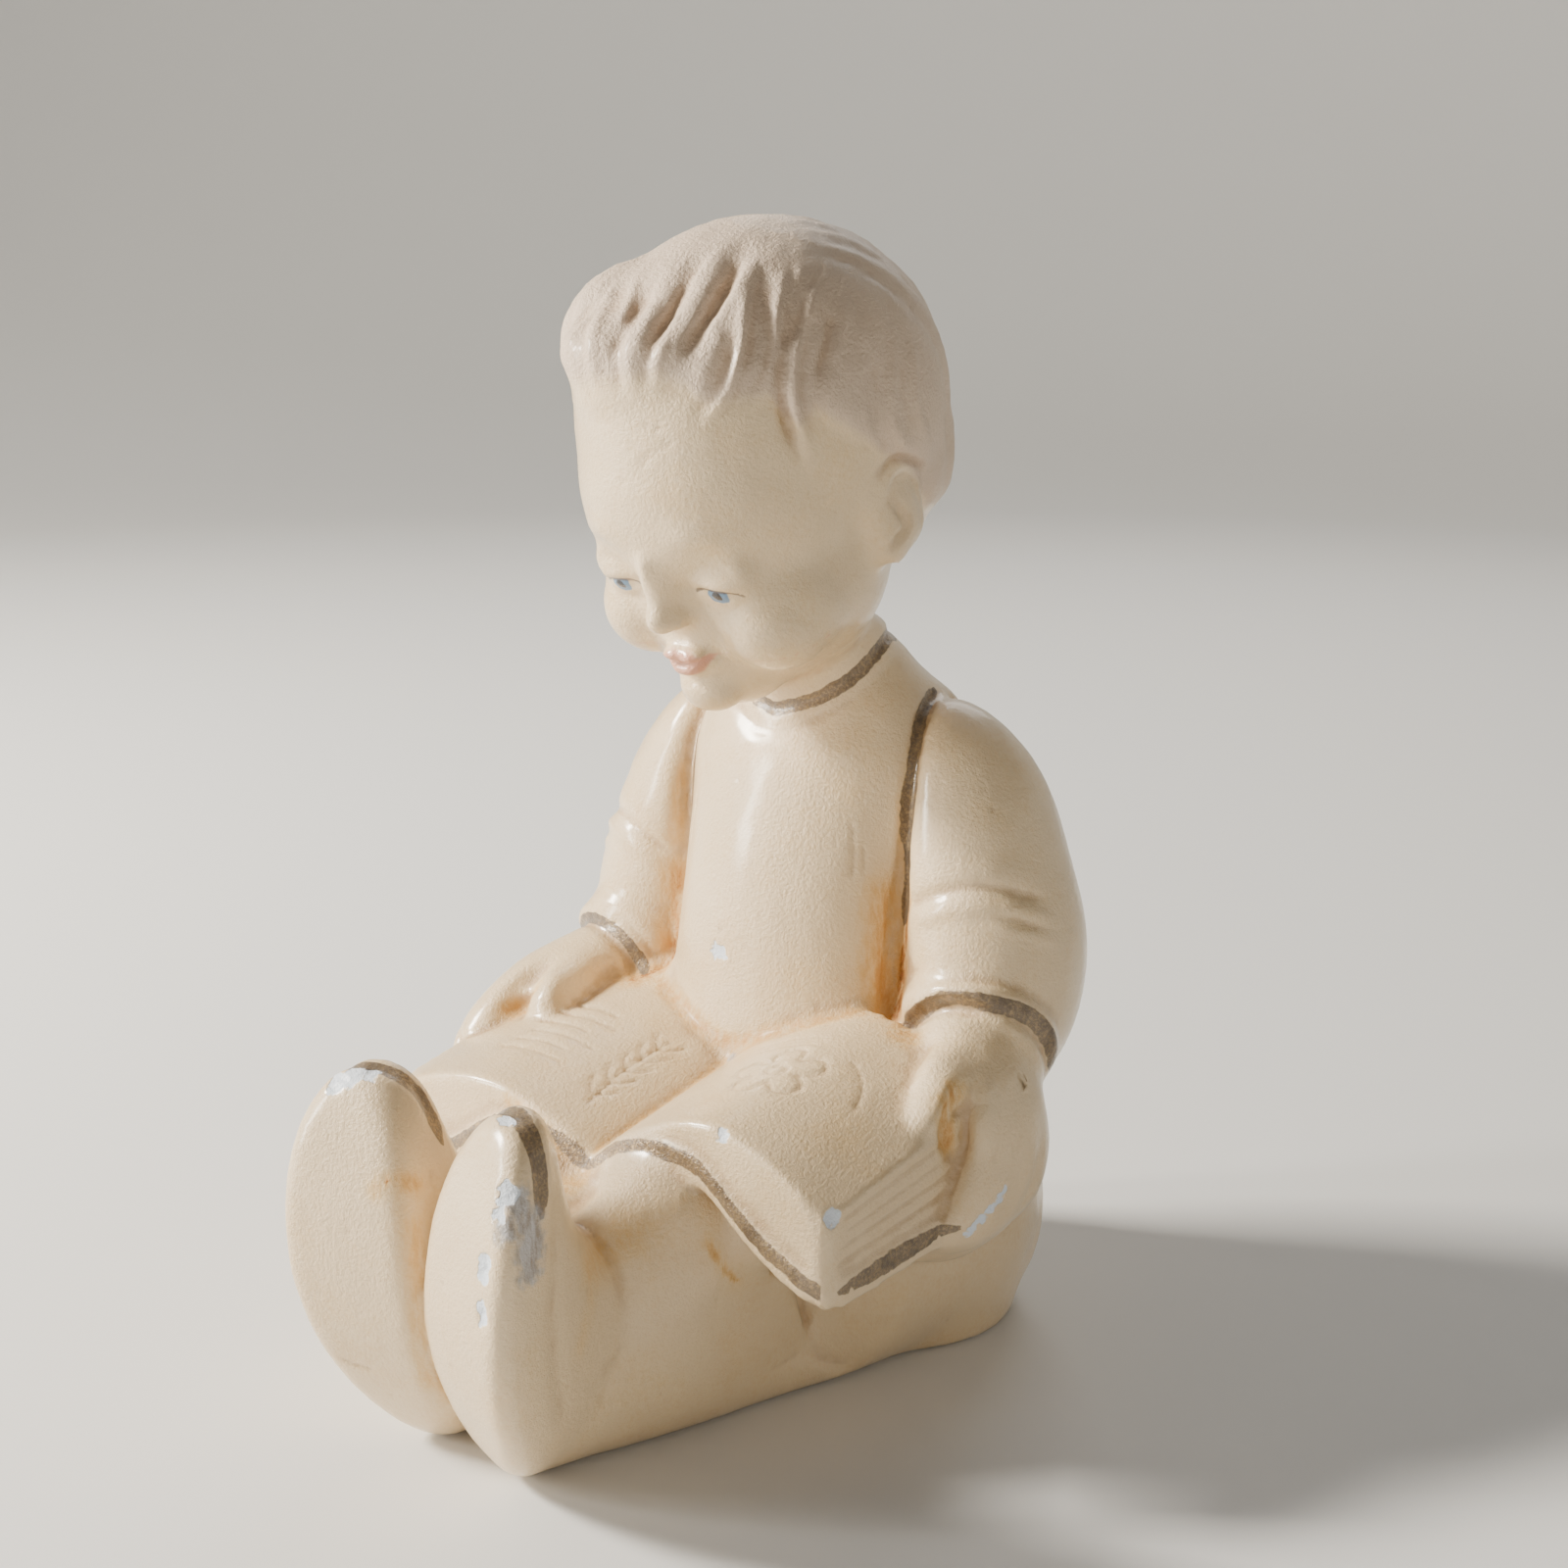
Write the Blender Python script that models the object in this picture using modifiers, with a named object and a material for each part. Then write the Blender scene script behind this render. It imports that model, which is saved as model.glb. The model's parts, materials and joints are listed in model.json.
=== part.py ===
"""A seated child reading an open book, cast in plaster as one piece and flat underneath.

The child faces -Y, with +X to the child's left and +Z up. The origin is on the floor, under the
middle of the figure. The figure is drawn on a scale of 154 units from the floor to the crown, so
every place and size of the free forms is a share of HEIGHT. The book has its own sizes in metres.
"""

import math

import bmesh
import bpy
import numpy as np
from mathutils import Matrix, Vector
from mathutils.bvhtree import BVHTree

# The figure's height from the floor to the crown, and one unit of the drawing scale.
HEIGHT = 0.154
UNIT = HEIGHT / 154

# The open book: half its width, its depth from the belly to the free edge, its two page humps, and
# how much of them is left at the belly.
BOOK_HALF_WIDTH = 0.0395
BOOK_DEPTH = 0.034
LEFT_HUMP = 0.0094
RIGHT_HUMP = 0.0058
HUMP_AT_BELLY = 0.85
# The block of pages at the free edge's outer corner, and how much it grows towards the belly.
BLOCK_AT_CORNER = 0.0085
BLOCK_GROWS = 0.0060
COVER_THICKNESS = 0.0022
COVER_LIP = 0.0007
# The plaster that fills the hollow under the cover, and how far it stays back from the cover's edges.
BACKING_THICKNESS = 0.0120
BACKING_INSET = 0.0040
BOOK_TILT = math.radians(12.5)
BOOK_FRONT = Vector((0, -41.0 * UNIT, 34.0 * UNIT))

# How finely the casting is meshed, and how many triangles its skin is thinned to before the cut at the floor.
COARSE_VOXEL = 0.9 * UNIT
FINE_VOXEL = 0.6 * UNIT
SKIN_TRIANGLES = 9700

RING_SIDES = 40
STEPS_BETWEEN = 5

# The head is shaped upright about its own middle, then bowed over the book.
HEAD_CENTRE = (0, -7.5, 122)
HEAD_TILT = 24

PLASTER_CREAM = (0.76, 0.64, 0.48, 1)
PLASTER_ROUGHNESS = 0.45


def at(x, y, z):
    """A point of the drawing scale, in metres."""
    return Vector((x, y, z)) * UNIT


def clear_scene():
    """Removes what the startup scene holds."""
    for obj in list(bpy.data.objects):
        bpy.data.objects.remove(obj)


def eased(values, step):
    """A Catmull-Rom value between the middle two of four values."""
    before, start, end, after = values
    return 0.5 * (
        2 * start
        + (end - before) * step
        + (2 * before - 5 * start + 4 * end - after) * step**2
        + (3 * start - before - 3 * end + after) * step**3
    )


def filled_in(stations, steps=STEPS_BETWEEN):
    """The stations with smooth steps put in between them. A station is a row of numbers."""
    rows = []
    last = len(stations) - 1
    for i in range(last):
        four = [stations[max(i - 1, 0)], stations[i], stations[i + 1], stations[min(i + 2, last)]]
        for k in range(steps):
            rows.append([eased(column, k / steps) for column in zip(*four)])
    rows.append(list(stations[last]))
    return rows


def finished(bm, name):
    """Turns a bmesh into mesh data and frees it."""
    mesh = bpy.data.meshes.new(name)
    bm.to_mesh(mesh)
    bm.free()
    return mesh


def signed_power(value, power):
    return math.copysign(abs(value) ** power, value)


def loft(stations, across, facing=None, roundness=1.0):
    """A closed form through oval sections.

    A station is x, y, z of the centre, then the half width along across, and the half sizes on the
    front and on the back of that line. The sections stand square to the path, or square to facing.
    A roundness under 1 makes the sections boxier.
    """
    rows = filled_in(stations)
    centres = [at(*row[:3]) for row in rows]
    bm = bmesh.new()
    rings = []
    for i, row in enumerate(rows):
        path = centres[min(i + 1, len(rows) - 1)] - centres[max(i - 1, 0)]
        normal = (facing or path).normalized()
        side = (across - across.dot(normal) * normal).normalized()
        front = normal.cross(side)
        half_width, half_front, half_back = (size * UNIT for size in row[3:6])
        ring = []
        for k in range(RING_SIDES):
            turn = math.tau * k / RING_SIDES
            wide = half_width * signed_power(math.cos(turn), roundness)
            reach = half_front if math.sin(turn) > 0 else half_back
            deep = reach * signed_power(math.sin(turn), roundness)
            ring.append(bm.verts.new(centres[i] + side * wide + front * deep))
        rings.append(ring)
    for lower, upper in zip(rings, rings[1:]):
        for k in range(RING_SIDES):
            n = (k + 1) % RING_SIDES
            bm.faces.new((lower[k], lower[n], upper[n], upper[k]))
    bm.faces.new(reversed(rings[0]))
    bm.faces.new(rings[-1])
    bmesh.ops.recalc_face_normals(bm, faces=bm.faces)
    return finished(bm, "loft")


def ball(centre, half_sizes, tilt=(0, 0, 0)):
    """An ellipsoid, turned by tilt in degrees about X, Y and Z."""
    bm = bmesh.new()
    turn = Matrix.Identity(4)
    for angle, axis in zip(tilt, "XYZ"):
        turn = Matrix.Rotation(math.radians(angle), 4, axis) @ turn
    stretch = Matrix.Diagonal((*(size * UNIT for size in half_sizes), 1))
    place = Matrix.Translation(at(*centre)) @ turn @ stretch
    bmesh.ops.create_uvsphere(bm, u_segments=36, v_segments=20, radius=1, matrix=place)
    return finished(bm, "ball")


def mirrored(forms):
    """The same forms on the child's other side."""
    copies = []
    for form in forms:
        bm = bmesh.new()
        bm.from_mesh(form)
        bmesh.ops.transform(bm, matrix=Matrix.Diagonal((-1, 1, 1, 1)), verts=bm.verts)
        bmesh.ops.reverse_faces(bm, faces=bm.faces)
        copies.append(finished(bm, form.name))
    return copies


def fused(forms, voxel, passes):
    """The forms grown together into one skin, with the joins between them softened."""
    bm = bmesh.new()
    for form in forms:
        bm.from_mesh(form)
    obj = bpy.data.objects.new("fusing", finished(bm, "fusing"))
    bpy.context.scene.collection.objects.link(obj)
    remesh = obj.modifiers.new("one skin", "REMESH")
    remesh.mode = "VOXEL"
    remesh.voxel_size = voxel
    soften = obj.modifiers.new("soft joins", "SMOOTH")
    soften.factor = 0.5
    soften.iterations = passes
    bpy.context.view_layer.update()
    mesh = bpy.data.meshes.new_from_object(obj.evaluated_get(bpy.context.evaluated_depsgraph_get()))
    bpy.data.objects.remove(obj)
    return mesh


def torso():
    """Hips, belly, chest and neck: x, y, z, half width, front and back of each level section."""
    levels = [
        (0, 8, -6, 27, 20, 22),
        (0, 8, 4, 30, 22, 24),
        (0, 8, 16, 33, 23, 25.5),
        (0, 8, 28, 32, 23, 25),
        (0, 8, 40, 27, 22, 22),
        (0, 8, 50, 24, 21, 20),
        (0, 8, 62, 22, 20, 18.5),
        (0, 8.5, 74, 21.5, 18, 17),
        (0, 8.5, 82, 22, 15.5, 16.5),
        (0, 8, 88, 19.5, 12.5, 15.5),
        (0, 6, 93, 14.5, 11.5, 12),
        (0, 2, 101, 11, 11, 9),
    ]
    return loft(levels, across=Vector((-1, 0, 0)), facing=Vector((0, 0, 1)))


def arm():
    """The left sleeve, from the shoulder round the elbow to the wrist."""
    return loft(
        [
            (12, 10, 85, 5, 5, 5),
            (18, 9.5, 82, 9, 9, 9),
            (23, 9, 75.5, 11, 11, 12),
            (27, 8, 66, 11.5, 12, 13),
            (29.3, 7.5, 57, 12, 12, 13.5),
            (30.3, 5.5, 50, 11, 11.5, 12.5),
            (30.5, 1.5, 46.5, 10, 10, 10.5),
        ],
        across=Vector((1, 0, 0)),
    )


def leg():
    """The left trouser leg, from the hip over the knee to the ankle."""
    return loft(
        [
            (16, 22, 15, 13, 16, 17),
            (17, 6, 16, 15, 20, 18),
            (16, -12, 17, 14, 19.5, 19),
            (13.5, -28, 17, 12.5, 19.5, 18.5),
            (11.8, -40, 16, 10.8, 22, 17.0),
            (10.3, -48, 15, 9.2, 18.5, 15.8),
            (9.0, -55, 15, 8.2, 15.5, 15.3),
            (8.2, -62, 16, 7.6, 15, 16),
        ],
        across=Vector((1, 0, 0)),
        facing=Vector((0, -1, 0)),
    )


# How a foot curves back from the middle of its sole, and how its toes lean out and its heel in.
SOLE_MIDDLE = 28
TOE_BEND = 0.0095
HEEL_BEND = 0.0130
FOOT_LEAN = 0.11


def foot():
    """The left foot: the sole faces forward, its toes and its heel curve back from its middle."""
    shape = loft(
        [
            (10.6, -74.6, 27.5, 8.4, 21, 24.5),
            (10.6, -73.7, 27.5, 9.6, 22.8, 26.5),
            (10.5, -71.5, 27.5, 10.2, 23.6, 27.4),
            (10.4, -67.5, 27, 10.2, 23.4, 27),
            (10.2, -63, 24, 9.6, 20, 25),
            (10, -57, 20, 9.0, 14, 21),
            (10, -51, 16, 8.5, 12, 17),
        ],
        across=Vector((1, 0, 0)),
        facing=Vector((-0.25, -1, 0)),
        roundness=0.88,
    )
    upright = fused([shape], COARSE_VOXEL, 1)
    for vertex in upright.vertices:
        above = vertex.co.z / UNIT - SOLE_MIDDLE
        bend = TOE_BEND if above > 0 else HEEL_BEND
        vertex.co.y += bend * above**2 * UNIT
        vertex.co.x += FOOT_LEAN * above * UNIT
    return upright


def knees():
    """The knees, which carry the book's free edge; the left one stands higher."""
    return [ball((10.5, -38.2, 29.5), (10.5, 9.5, 8)), ball((-10.5, -38, 28), (10.5, 9, 7))]


def lap():
    """The plaster that joins both thighs, carries the cover and closes the corners by the belly."""
    between = loft(
        [
            (0, 0, 20, 20, 20, 18),
            (0, -14, 20, 20, 18, 18),
            (0, -28, 18, 16, 15.5, 16),
            (0, -40, 17, 11, 14.5, 14),
            (0, -52, 18, 6, 14, 13),
            (0, -64, 21, 4, 15, 15),
        ],
        across=Vector((1, 0, 0)),
        facing=Vector((0, -1, 0)),
    )
    tray = loft(
        [
            (0, 0, 28, 34, 8, 12),
            (0, -14, 27.5, 36.5, 7, 10),
            (0, -26, 27, 37, 6, 7),
            (0, -36, 26.5, 36, 5, 4.5),
        ],
        across=Vector((1, 0, 0)),
        facing=Vector((0, -1, 0)),
        roundness=0.8,
    )
    corners = [ball((side * 19, -3, 41), (10, 10, 7)) for side in (-1, 1)]
    return [between, tray, *corners]


def cuff():
    """The end of the left sleeve, which stands out round the wrist."""
    return loft(
        [
            (30.3, 6, 50, 10.4, 11.4, 11.4),
            (30.8, 1.2, 46.8, 10.9, 11.2, 11.2),
            (31.2, -1.8, 45.2, 10.7, 10.9, 10.7),
        ],
        across=Vector((1, 0, 0)),
    )


def left_hand():
    """A mitten of four fingers round the book's edge, and the thumb along the page's edge."""
    mitten = loft(
        [
            (30.5, 3, 47, 8, 7.5, 8),
            (33.5, -3, 44.5, 8, 7, 7.5),
            (38, -5.5, 40, 8.5, 6, 6.5),
            (40.2, -6, 34, 8.6, 4.5, 5),
            (39.6, -9, 28, 8.6, 4.2, 4.5),
            (36, -12, 23.5, 8, 3.5, 4),
            (31, -14, 22, 6.5, 3, 3),
        ],
        across=Vector((0, -1, 0)),
    )
    thumb = loft(
        [
            (33.5, -3, 46.8, 5.5, 4.5, 4.5),
            (35.5, -10, 45.2, 4.2, 3.6, 3.8),
            (37, -16, 43, 3.6, 3, 3.2),
            (37.6, -20.5, 40.8, 2.4, 2, 2.2),
        ],
        across=Vector((1, 0, 0)),
    )
    return [mitten, thumb]


def right_hand():
    """The same hand further forward, with the thumb on the page and the fingers over its edge."""
    mitten = loft(
        [
            (-30, 3, 47, 8, 7.5, 8),
            (-32.5, -5, 45.5, 7.5, 6.5, 6.5),
            (-37.5, -14, 43.5, 6.5, 4.6, 5),
            (-39.8, -20, 40, 6, 3.8, 4.4),
            (-41.2, -23.5, 35, 6, 3.4, 4),
            (-39.5, -24, 28.5, 7, 3.4, 4),
            (-35, -22, 24, 7, 3.4, 4),
        ],
        across=Vector((0.5, -1, 0)),
    )
    thumb = loft(
        [
            (-32, -5, 47, 5.5, 4.5, 4.5),
            (-31.2, -12, 46, 4.2, 3.4, 3.6),
            (-29.6, -18.5, 44.6, 3.6, 3, 3.4),
            (-28.4, -23, 43, 2.4, 2, 2.4),
        ],
        across=Vector((1, 0, 0)),
    )
    return [mitten, thumb]


# Along a page from the spine to the outer edge: the height of its top as a share of its hump, and
# the thickness of the pages under it as a share of the block's thickness at the outer corner.
PAGE_LINE = [(0.0, 0.0), (0.14, 0.46), (0.36, 0.88), (0.55, 1.0), (0.78, 0.71), (1.0, 0.17)]
BLOCK_LINE = [(0.0, 0.04), (0.13, 0.07), (0.29, 0.22), (0.47, 0.53), (0.66, 1.02), (0.82, 1.16), (1.0, 1.0)]
ACROSS_PAGE = [i / 24 for i in range(25)]


def line_height(line, share):
    """The height of a line of (share, height) stations at one share, read off its smooth curve."""
    shares, heights = zip(*filled_in(line))
    return float(np.interp(share, shares, heights))


def page_top(share, hump):
    return hump * line_height(PAGE_LINE, share)


def cover_top(share, hump):
    return page_top(share, hump) - BLOCK_AT_CORNER * line_height(BLOCK_LINE, share)


def book_layer(top, bottom, half, lip, top_sinks):
    """One layer of the open book between two lines, from the free edge back to the belly.

    The layer rises towards the belly, while its outer edges sink by what the block grows there.
    """
    outline = []
    for line, sinks in ((top, top_sinks), (bottom, True)):
        points = [(-half * s, line(s, RIGHT_HUMP), sinks * s**2) for s in reversed(ACROSS_PAGE)]
        points += [(half * s, line(s, LEFT_HUMP), sinks * s**2) for s in ACROSS_PAGE[1:]]
        outline += points if line is top else points[::-1]
    rise = math.tan(BOOK_TILT) * BOOK_DEPTH
    bm = bmesh.new()
    front = [bm.verts.new((x, -lip, z)) for x, z, _ in outline]
    back = [
        bm.verts.new((x, BOOK_DEPTH, z * HUMP_AT_BELLY + rise - share * BLOCK_GROWS))
        for x, z, share in outline
    ]
    for k in range(len(outline)):
        n = (k + 1) % len(outline)
        bm.faces.new((front[k], front[n], back[n], back[k]))
    bm.faces.new(front[::-1])
    bm.faces.new(back)
    bmesh.ops.translate(bm, vec=BOOK_FRONT, verts=bm.verts)
    bmesh.ops.recalc_face_normals(bm, faces=bm.faces)
    return finished(bm, "book")


def book():
    """The block of pages, the cover under it, which stands a little proud, and the plaster below."""

    def cover_bottom(share, hump):
        return cover_top(share, hump) - COVER_THICKNESS

    def backing_bottom(share, hump):
        return cover_top(share, hump) - BACKING_THICKNESS

    pages = book_layer(page_top, cover_top, BOOK_HALF_WIDTH, 0.0, False)
    cover = book_layer(cover_top, cover_bottom, BOOK_HALF_WIDTH + COVER_LIP, COVER_LIP, True)
    backing = book_layer(cover_top, backing_bottom, BOOK_HALF_WIDTH - BACKING_INSET, -BACKING_INSET, True)
    return [pages, cover, backing]


def on_head(x, y, z):
    """A place given from the middle of the upright head, moved to where the bowed head has it."""
    turned = Matrix.Rotation(math.radians(HEAD_TILT), 3, "X") @ Vector((x, y, z))
    return tuple(turned + Vector(HEAD_CENTRE))


def head_ball(centre, half_sizes, tilt=(0, 0, 0)):
    return ball(on_head(*centre), half_sizes, (tilt[0] + HEAD_TILT, tilt[1], tilt[2]))


def skull():
    """Skull, brow, cheeks, jaw and the mass of hair."""
    forms = [
        head_ball((0, 3, 7), (23.3, 26.2, 23.1)),
        head_ball((0, 7, -2), (20.5, 21.5, 19.5)),
        head_ball((0, -7, 2), (20, 18, 19.5)),
        head_ball((0, -6, -11), (19, 17, 16.5)),
        head_ball((0, -14, -19), (9, 9, 9)),
        head_ball((-10, -4.2, 20.4), (9.2, 9.4, 8.5)),
        head_ball((-3, -12, 19.2), (12.6, 8.6, 7.8)),
    ]
    for side in (-1, 1):
        forms.append(head_ball((side * 9.5, -13, -12), (9.5, 9, 9)))
    return forms


def features():
    """Small plain features of a child's face, and the ears."""
    forms = [
        head_ball((0, -24.0, -5), (2.4, 2.2, 5.5)),
        head_ball((0, -25.2, -9.6), (2.8, 2.5, 2.3)),
        head_ball((0, -21.8, -16.6), (4.4, 2.6, 2.2)),
        head_ball((0, -18.6, -21.5), (5.5, 4.2, 4)),
    ]
    for side in (-1, 1):
        forms.append(head_ball((side * 8.6, -20.4, -4.5), (5.2, 3.6, 3.8)))
        forms.append(head_ball((side * 21, -1, -7), (2.6, 4.6, 7)))
    return forms


class Skin:
    """The casting's skin as arrays in drawing units, which strokes press grooves into."""

    def __init__(self, mesh):
        self.mesh = mesh
        count = len(mesh.vertices)
        places = np.empty(count * 3, np.float32)
        mesh.vertices.foreach_get("co", places)
        facing = np.empty(count * 3, np.float32)
        mesh.vertices.foreach_get("normal", facing)
        self.points = places.reshape(-1, 3) / UNIT
        self.normals = facing.reshape(-1, 3)
        self.lifts = np.zeros(count)
        faces = [tuple(face.vertices) for face in mesh.polygons]
        self.tree = BVHTree.FromPolygons([tuple(point) for point in self.points], faces)

    def along(self, path):
        """The path's smooth curve, laid on the skin."""
        return np.array([self.tree.find_nearest(point)[0] for point in filled_in(path)])

    def press(self, path, half_width, depth):
        """Presses a groove along the path, or raises a ridge where the depth is negative."""
        line = self.along(path)
        low, high = line.min(axis=0) - half_width, line.max(axis=0) + half_width
        near = np.nonzero(((self.points > low) & (self.points < high)).all(axis=1))[0]
        points = self.points[near]
        best = np.full(len(near), np.inf)
        travelled = np.zeros(len(near))
        length = 0.0
        for start, end in zip(line, line[1:]):
            run = end - start
            reach = float(np.linalg.norm(run))
            if reach == 0:
                continue
            share = np.clip((points - start) @ run / reach**2, 0, 1)
            distance = np.linalg.norm(points - start - share[:, None] * run, axis=1)
            closer = distance < best
            best[closer] = distance[closer]
            travelled[closer] = length + share[closer] * reach
            length += reach
        across = 0.5 + 0.5 * np.cos(np.pi * np.clip(best / half_width, 0, 1))
        to_end = np.minimum(travelled, length - travelled)
        closed = np.linalg.norm(line[0] - line[-1]) < half_width
        fade = 1 if closed else np.clip(0.25 + to_end / (2 * half_width), 0, 1)
        self.lifts[near] -= depth * across * fade

    def finish(self):
        """Moves the skin by all the strokes together."""
        self.points += self.normals * self.lifts[:, None]
        self.mesh.vertices.foreach_set("co", (self.points * UNIT).astype(np.float32).ravel())
        self.mesh.update()


def both_sides(path):
    return [path, [(-x, y, z) for x, y, z in path]]


# The hair ends in a line round the head: a turn from the face to the child's left, and the line's
# height over the middle of the upright head, both in degrees. Its dips are the tips of the locks.
HAIRLINE = [
    (-180, -40), (-150, -38), (-115, -26), (-98, 2), (-86, 12), (-72, 24), (-58, 36), (-40, 43),
    (-20, 46), (0, 49), (14, 51), (28, 47), (33, 39), (47, 42), (57, 42), (61, 20), (68, 29),
    (77, 19), (86, 10), (98, 0), (115, -26), (150, -38), (180, -40),
]
HAIR_LIFT = 0.9
HAIR_EDGE = 5.0

# Locks of the front hair, from the crown down, in the same angles, then half width and depth.
FRONT_LOCKS = [
    ([(-50, 62), (-22, 54), (-14, 45)], 1.4, 0.6),
    ([(-15, 76), (-6, 67), (-1, 58), (-2, 50)], 1.9, 1.3),
    ([(60, 84), (28, 75), (18, 64), (13, 54)], 1.8, 1.3),
    ([(110, 78), (66, 73), (41, 63), (29, 51)], 1.8, 1.2),
    ([(56, 59), (51, 52), (42, 45), (31, 38)], 1.7, 1.0),
    ([(88, 68), (62, 56), (50, 46)], 1.6, 1.0),
    ([(82, 54), (69, 43), (63, 34), (58, 21)], 1.7, 1.1),
    ([(95, 50), (82, 42), (73, 33)], 1.5, 0.9),
    ([(96, 32), (86, 19), (89, 6)], 1.6, 0.7),
    ([(-90, 66), (-55, 56), (-38, 46)], 1.7, 1.0),
    ([(-105, 58), (-72, 46), (-56, 36)], 1.7, 1.0),
    ([(-112, 46), (-84, 34), (-73, 24)], 1.7, 0.9),
]
BACK_LOCK_STEP = 14
BACK_LOCK = [(0, 62), (5, 40), (7, 14), (4, -12), (0, -32)]


def toward(turn, height, reach=30):
    """A place just outside the head, at a turn and a height in degrees."""
    turned, lifted = math.radians(turn), math.radians(height)
    flat = math.cos(lifted) * reach
    return on_head(math.sin(turned) * flat, -math.cos(turned) * flat, math.sin(lifted) * reach)


def raise_hair(skin):
    """Lifts all that lies over the hairline, with a soft edge, and keeps the ears clear of it."""
    upright = np.array(Matrix.Rotation(math.radians(-HEAD_TILT), 3, "X"))
    local = (skin.points - np.array(HEAD_CENTRE)) @ upright.T
    reach = np.linalg.norm(local, axis=1)
    turn = np.degrees(np.arctan2(local[:, 0], -local[:, 1]))
    height = np.degrees(np.arctan2(local[:, 2], np.hypot(local[:, 0], local[:, 1])))
    turns, heights = zip(*HAIRLINE)
    over = np.clip((height - np.interp(turn, turns, heights)) / HAIR_EDGE, 0, 1)
    on_skull = np.clip((38 - reach) / 4, 0, 1)
    skin.lifts += HAIR_LIFT * over * over * (3 - 2 * over) * on_skull


def comb_hair(skin):
    """Presses the grooves between the locks, named ones in front and even ones behind."""
    for path, half_width, depth in FRONT_LOCKS:
        skin.press([toward(*angles) for angles in path], half_width, depth)
    for turn in range(120, 241, BACK_LOCK_STEP):
        sway = 1 if turn < 180 else -1
        path = [toward(turn + sway * swing, height) for swing, height in BACK_LOCK]
        skin.press(path, 1.8, 0.7)


COLLAR_CENTRE = (0, 5, 95)
COLLAR_REACH = 12.5
COLLAR_SLOPE = 0.71
COLLAR_HIGHEST = 99
SLEEVE_SEAM = [
    (16.5, 12, 89.5), (17.8, 7.3, 89.5), (19.3, 2.8, 87.2), (20.2, -0.4, 81.2), (20.3, -1.8, 74.7),
    (20, -2.5, 66.7), (20, -3.3, 58.6), (20.3, -4.3, 52), (21.5, -6.5, 46.5),
]
BACK_SEAM = [(16.5, 12, 89.5), (18, 18, 85), (19, 21, 76), (19.5, 22, 66), (20.5, 20, 56)]
ELBOW_FOLD = [(21.5, -2.4, 63.5), (27.5, -3.8, 66.7), (32, -2.5, 68.2), (36, 0.7, 67.8), (39, 5, 66)]


def carve_clothes(skin):
    """The collar's edge, the sleeves' seams, a fold at each elbow and the slippers' rims."""
    x, y, z = COLLAR_CENTRE
    ring = []
    for degrees in range(0, 361, 20):
        turn = math.radians(degrees)
        behind = -math.cos(turn) * COLLAR_REACH
        height = min(z + behind * COLLAR_SLOPE, COLLAR_HIGHEST)
        ring.append((x + math.sin(turn) * COLLAR_REACH, y + behind, height))
    skin.press(ring, 1.3, 0.7)
    for path in both_sides(SLEEVE_SEAM) + both_sides(BACK_SEAM):
        skin.press(path, 1.9, 1.1)
    for path in both_sides(ELBOW_FOLD):
        skin.press(path, 1.5, 0.5)
    rim = []
    for degrees in range(-50, 181, 23):
        turn = math.radians(degrees)
        above = 23.5 * math.sin(turn)
        bend = TOE_BEND if above > 0 else HEEL_BEND
        rim.append((10.5 + 10.5 * math.cos(turn) + FOOT_LEAN * above, -67 + bend * above**2, 28 + above))
    for path in both_sides(rim):
        skin.press(path, 1.3, 0.6)


LEFT_FINGERS = [
    ([(39.5, -13.5, 45), (40.2, -14.8, 42), (40.5, -14.5, 38), (41, -14, 34)], 2.4, 1.8),
    ([(44.5, -7, 39), (44.4, -8, 33), (42.8, -10.5, 27)], 1.3, 0.5),
    ([(44.6, -2.5, 39), (44.6, -4, 33), (43, -7, 27)], 1.3, 0.5),
]
RIGHT_FINGERS = [
    ([(-33.6, -15.5, 47), (-34.6, -19.5, 46), (-35.6, -24, 42.5)], 2.2, 1.5),
    ([(-41, -14, 43), (-44, -18.5, 38), (-43.5, -20, 32)], 1.3, 0.5),
    ([(-39, -9, 43), (-43, -14, 38), (-43.5, -17, 32)], 1.3, 0.5),
]


def carve_hands(skin):
    """The hollow between each thumb and its fingers, and the lines between fingers."""
    for path, half_width, depth in LEFT_FINGERS + RIGHT_FINGERS:
        skin.press(path, half_width, depth)


def carve_face(skin):
    """Plain lines of a calm child's face: lids looking down, and a small closed mouth."""
    for side in (-1, 1):
        lid = [(side * 4.6, -23.5, -5.6), (side * 8.5, -23.8, -7.0), (side * 12.4, -21, -5.4)]
        skin.press([on_head(*point) for point in lid], 0.9, 0.5)
        brow = [(side * 4, -25, 0.5), (side * 9, -24.5, 1.8), (side * 14, -21, 0.5)]
        skin.press([on_head(*point) for point in brow], 2.2, -0.5)
    mouth = [(-4.2, -24, -16.8), (0, -25.5, -17.2), (4.2, -24, -16.8)]
    skin.press([on_head(*point) for point in mouth], 0.8, 0.5)


def thinned(mesh, triangles):
    """The same skin with about that many triangles, kept fine where it curves."""
    obj = bpy.data.objects.new("thinning", mesh)
    bpy.context.scene.collection.objects.link(obj)
    thin = obj.modifiers.new("few faces", "DECIMATE")
    thin.ratio = min(1.0, triangles / (2 * len(mesh.polygons)))
    bpy.context.view_layer.update()
    result = bpy.data.meshes.new_from_object(obj.evaluated_get(bpy.context.evaluated_depsgraph_get()))
    bpy.data.objects.remove(obj)
    return result


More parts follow.
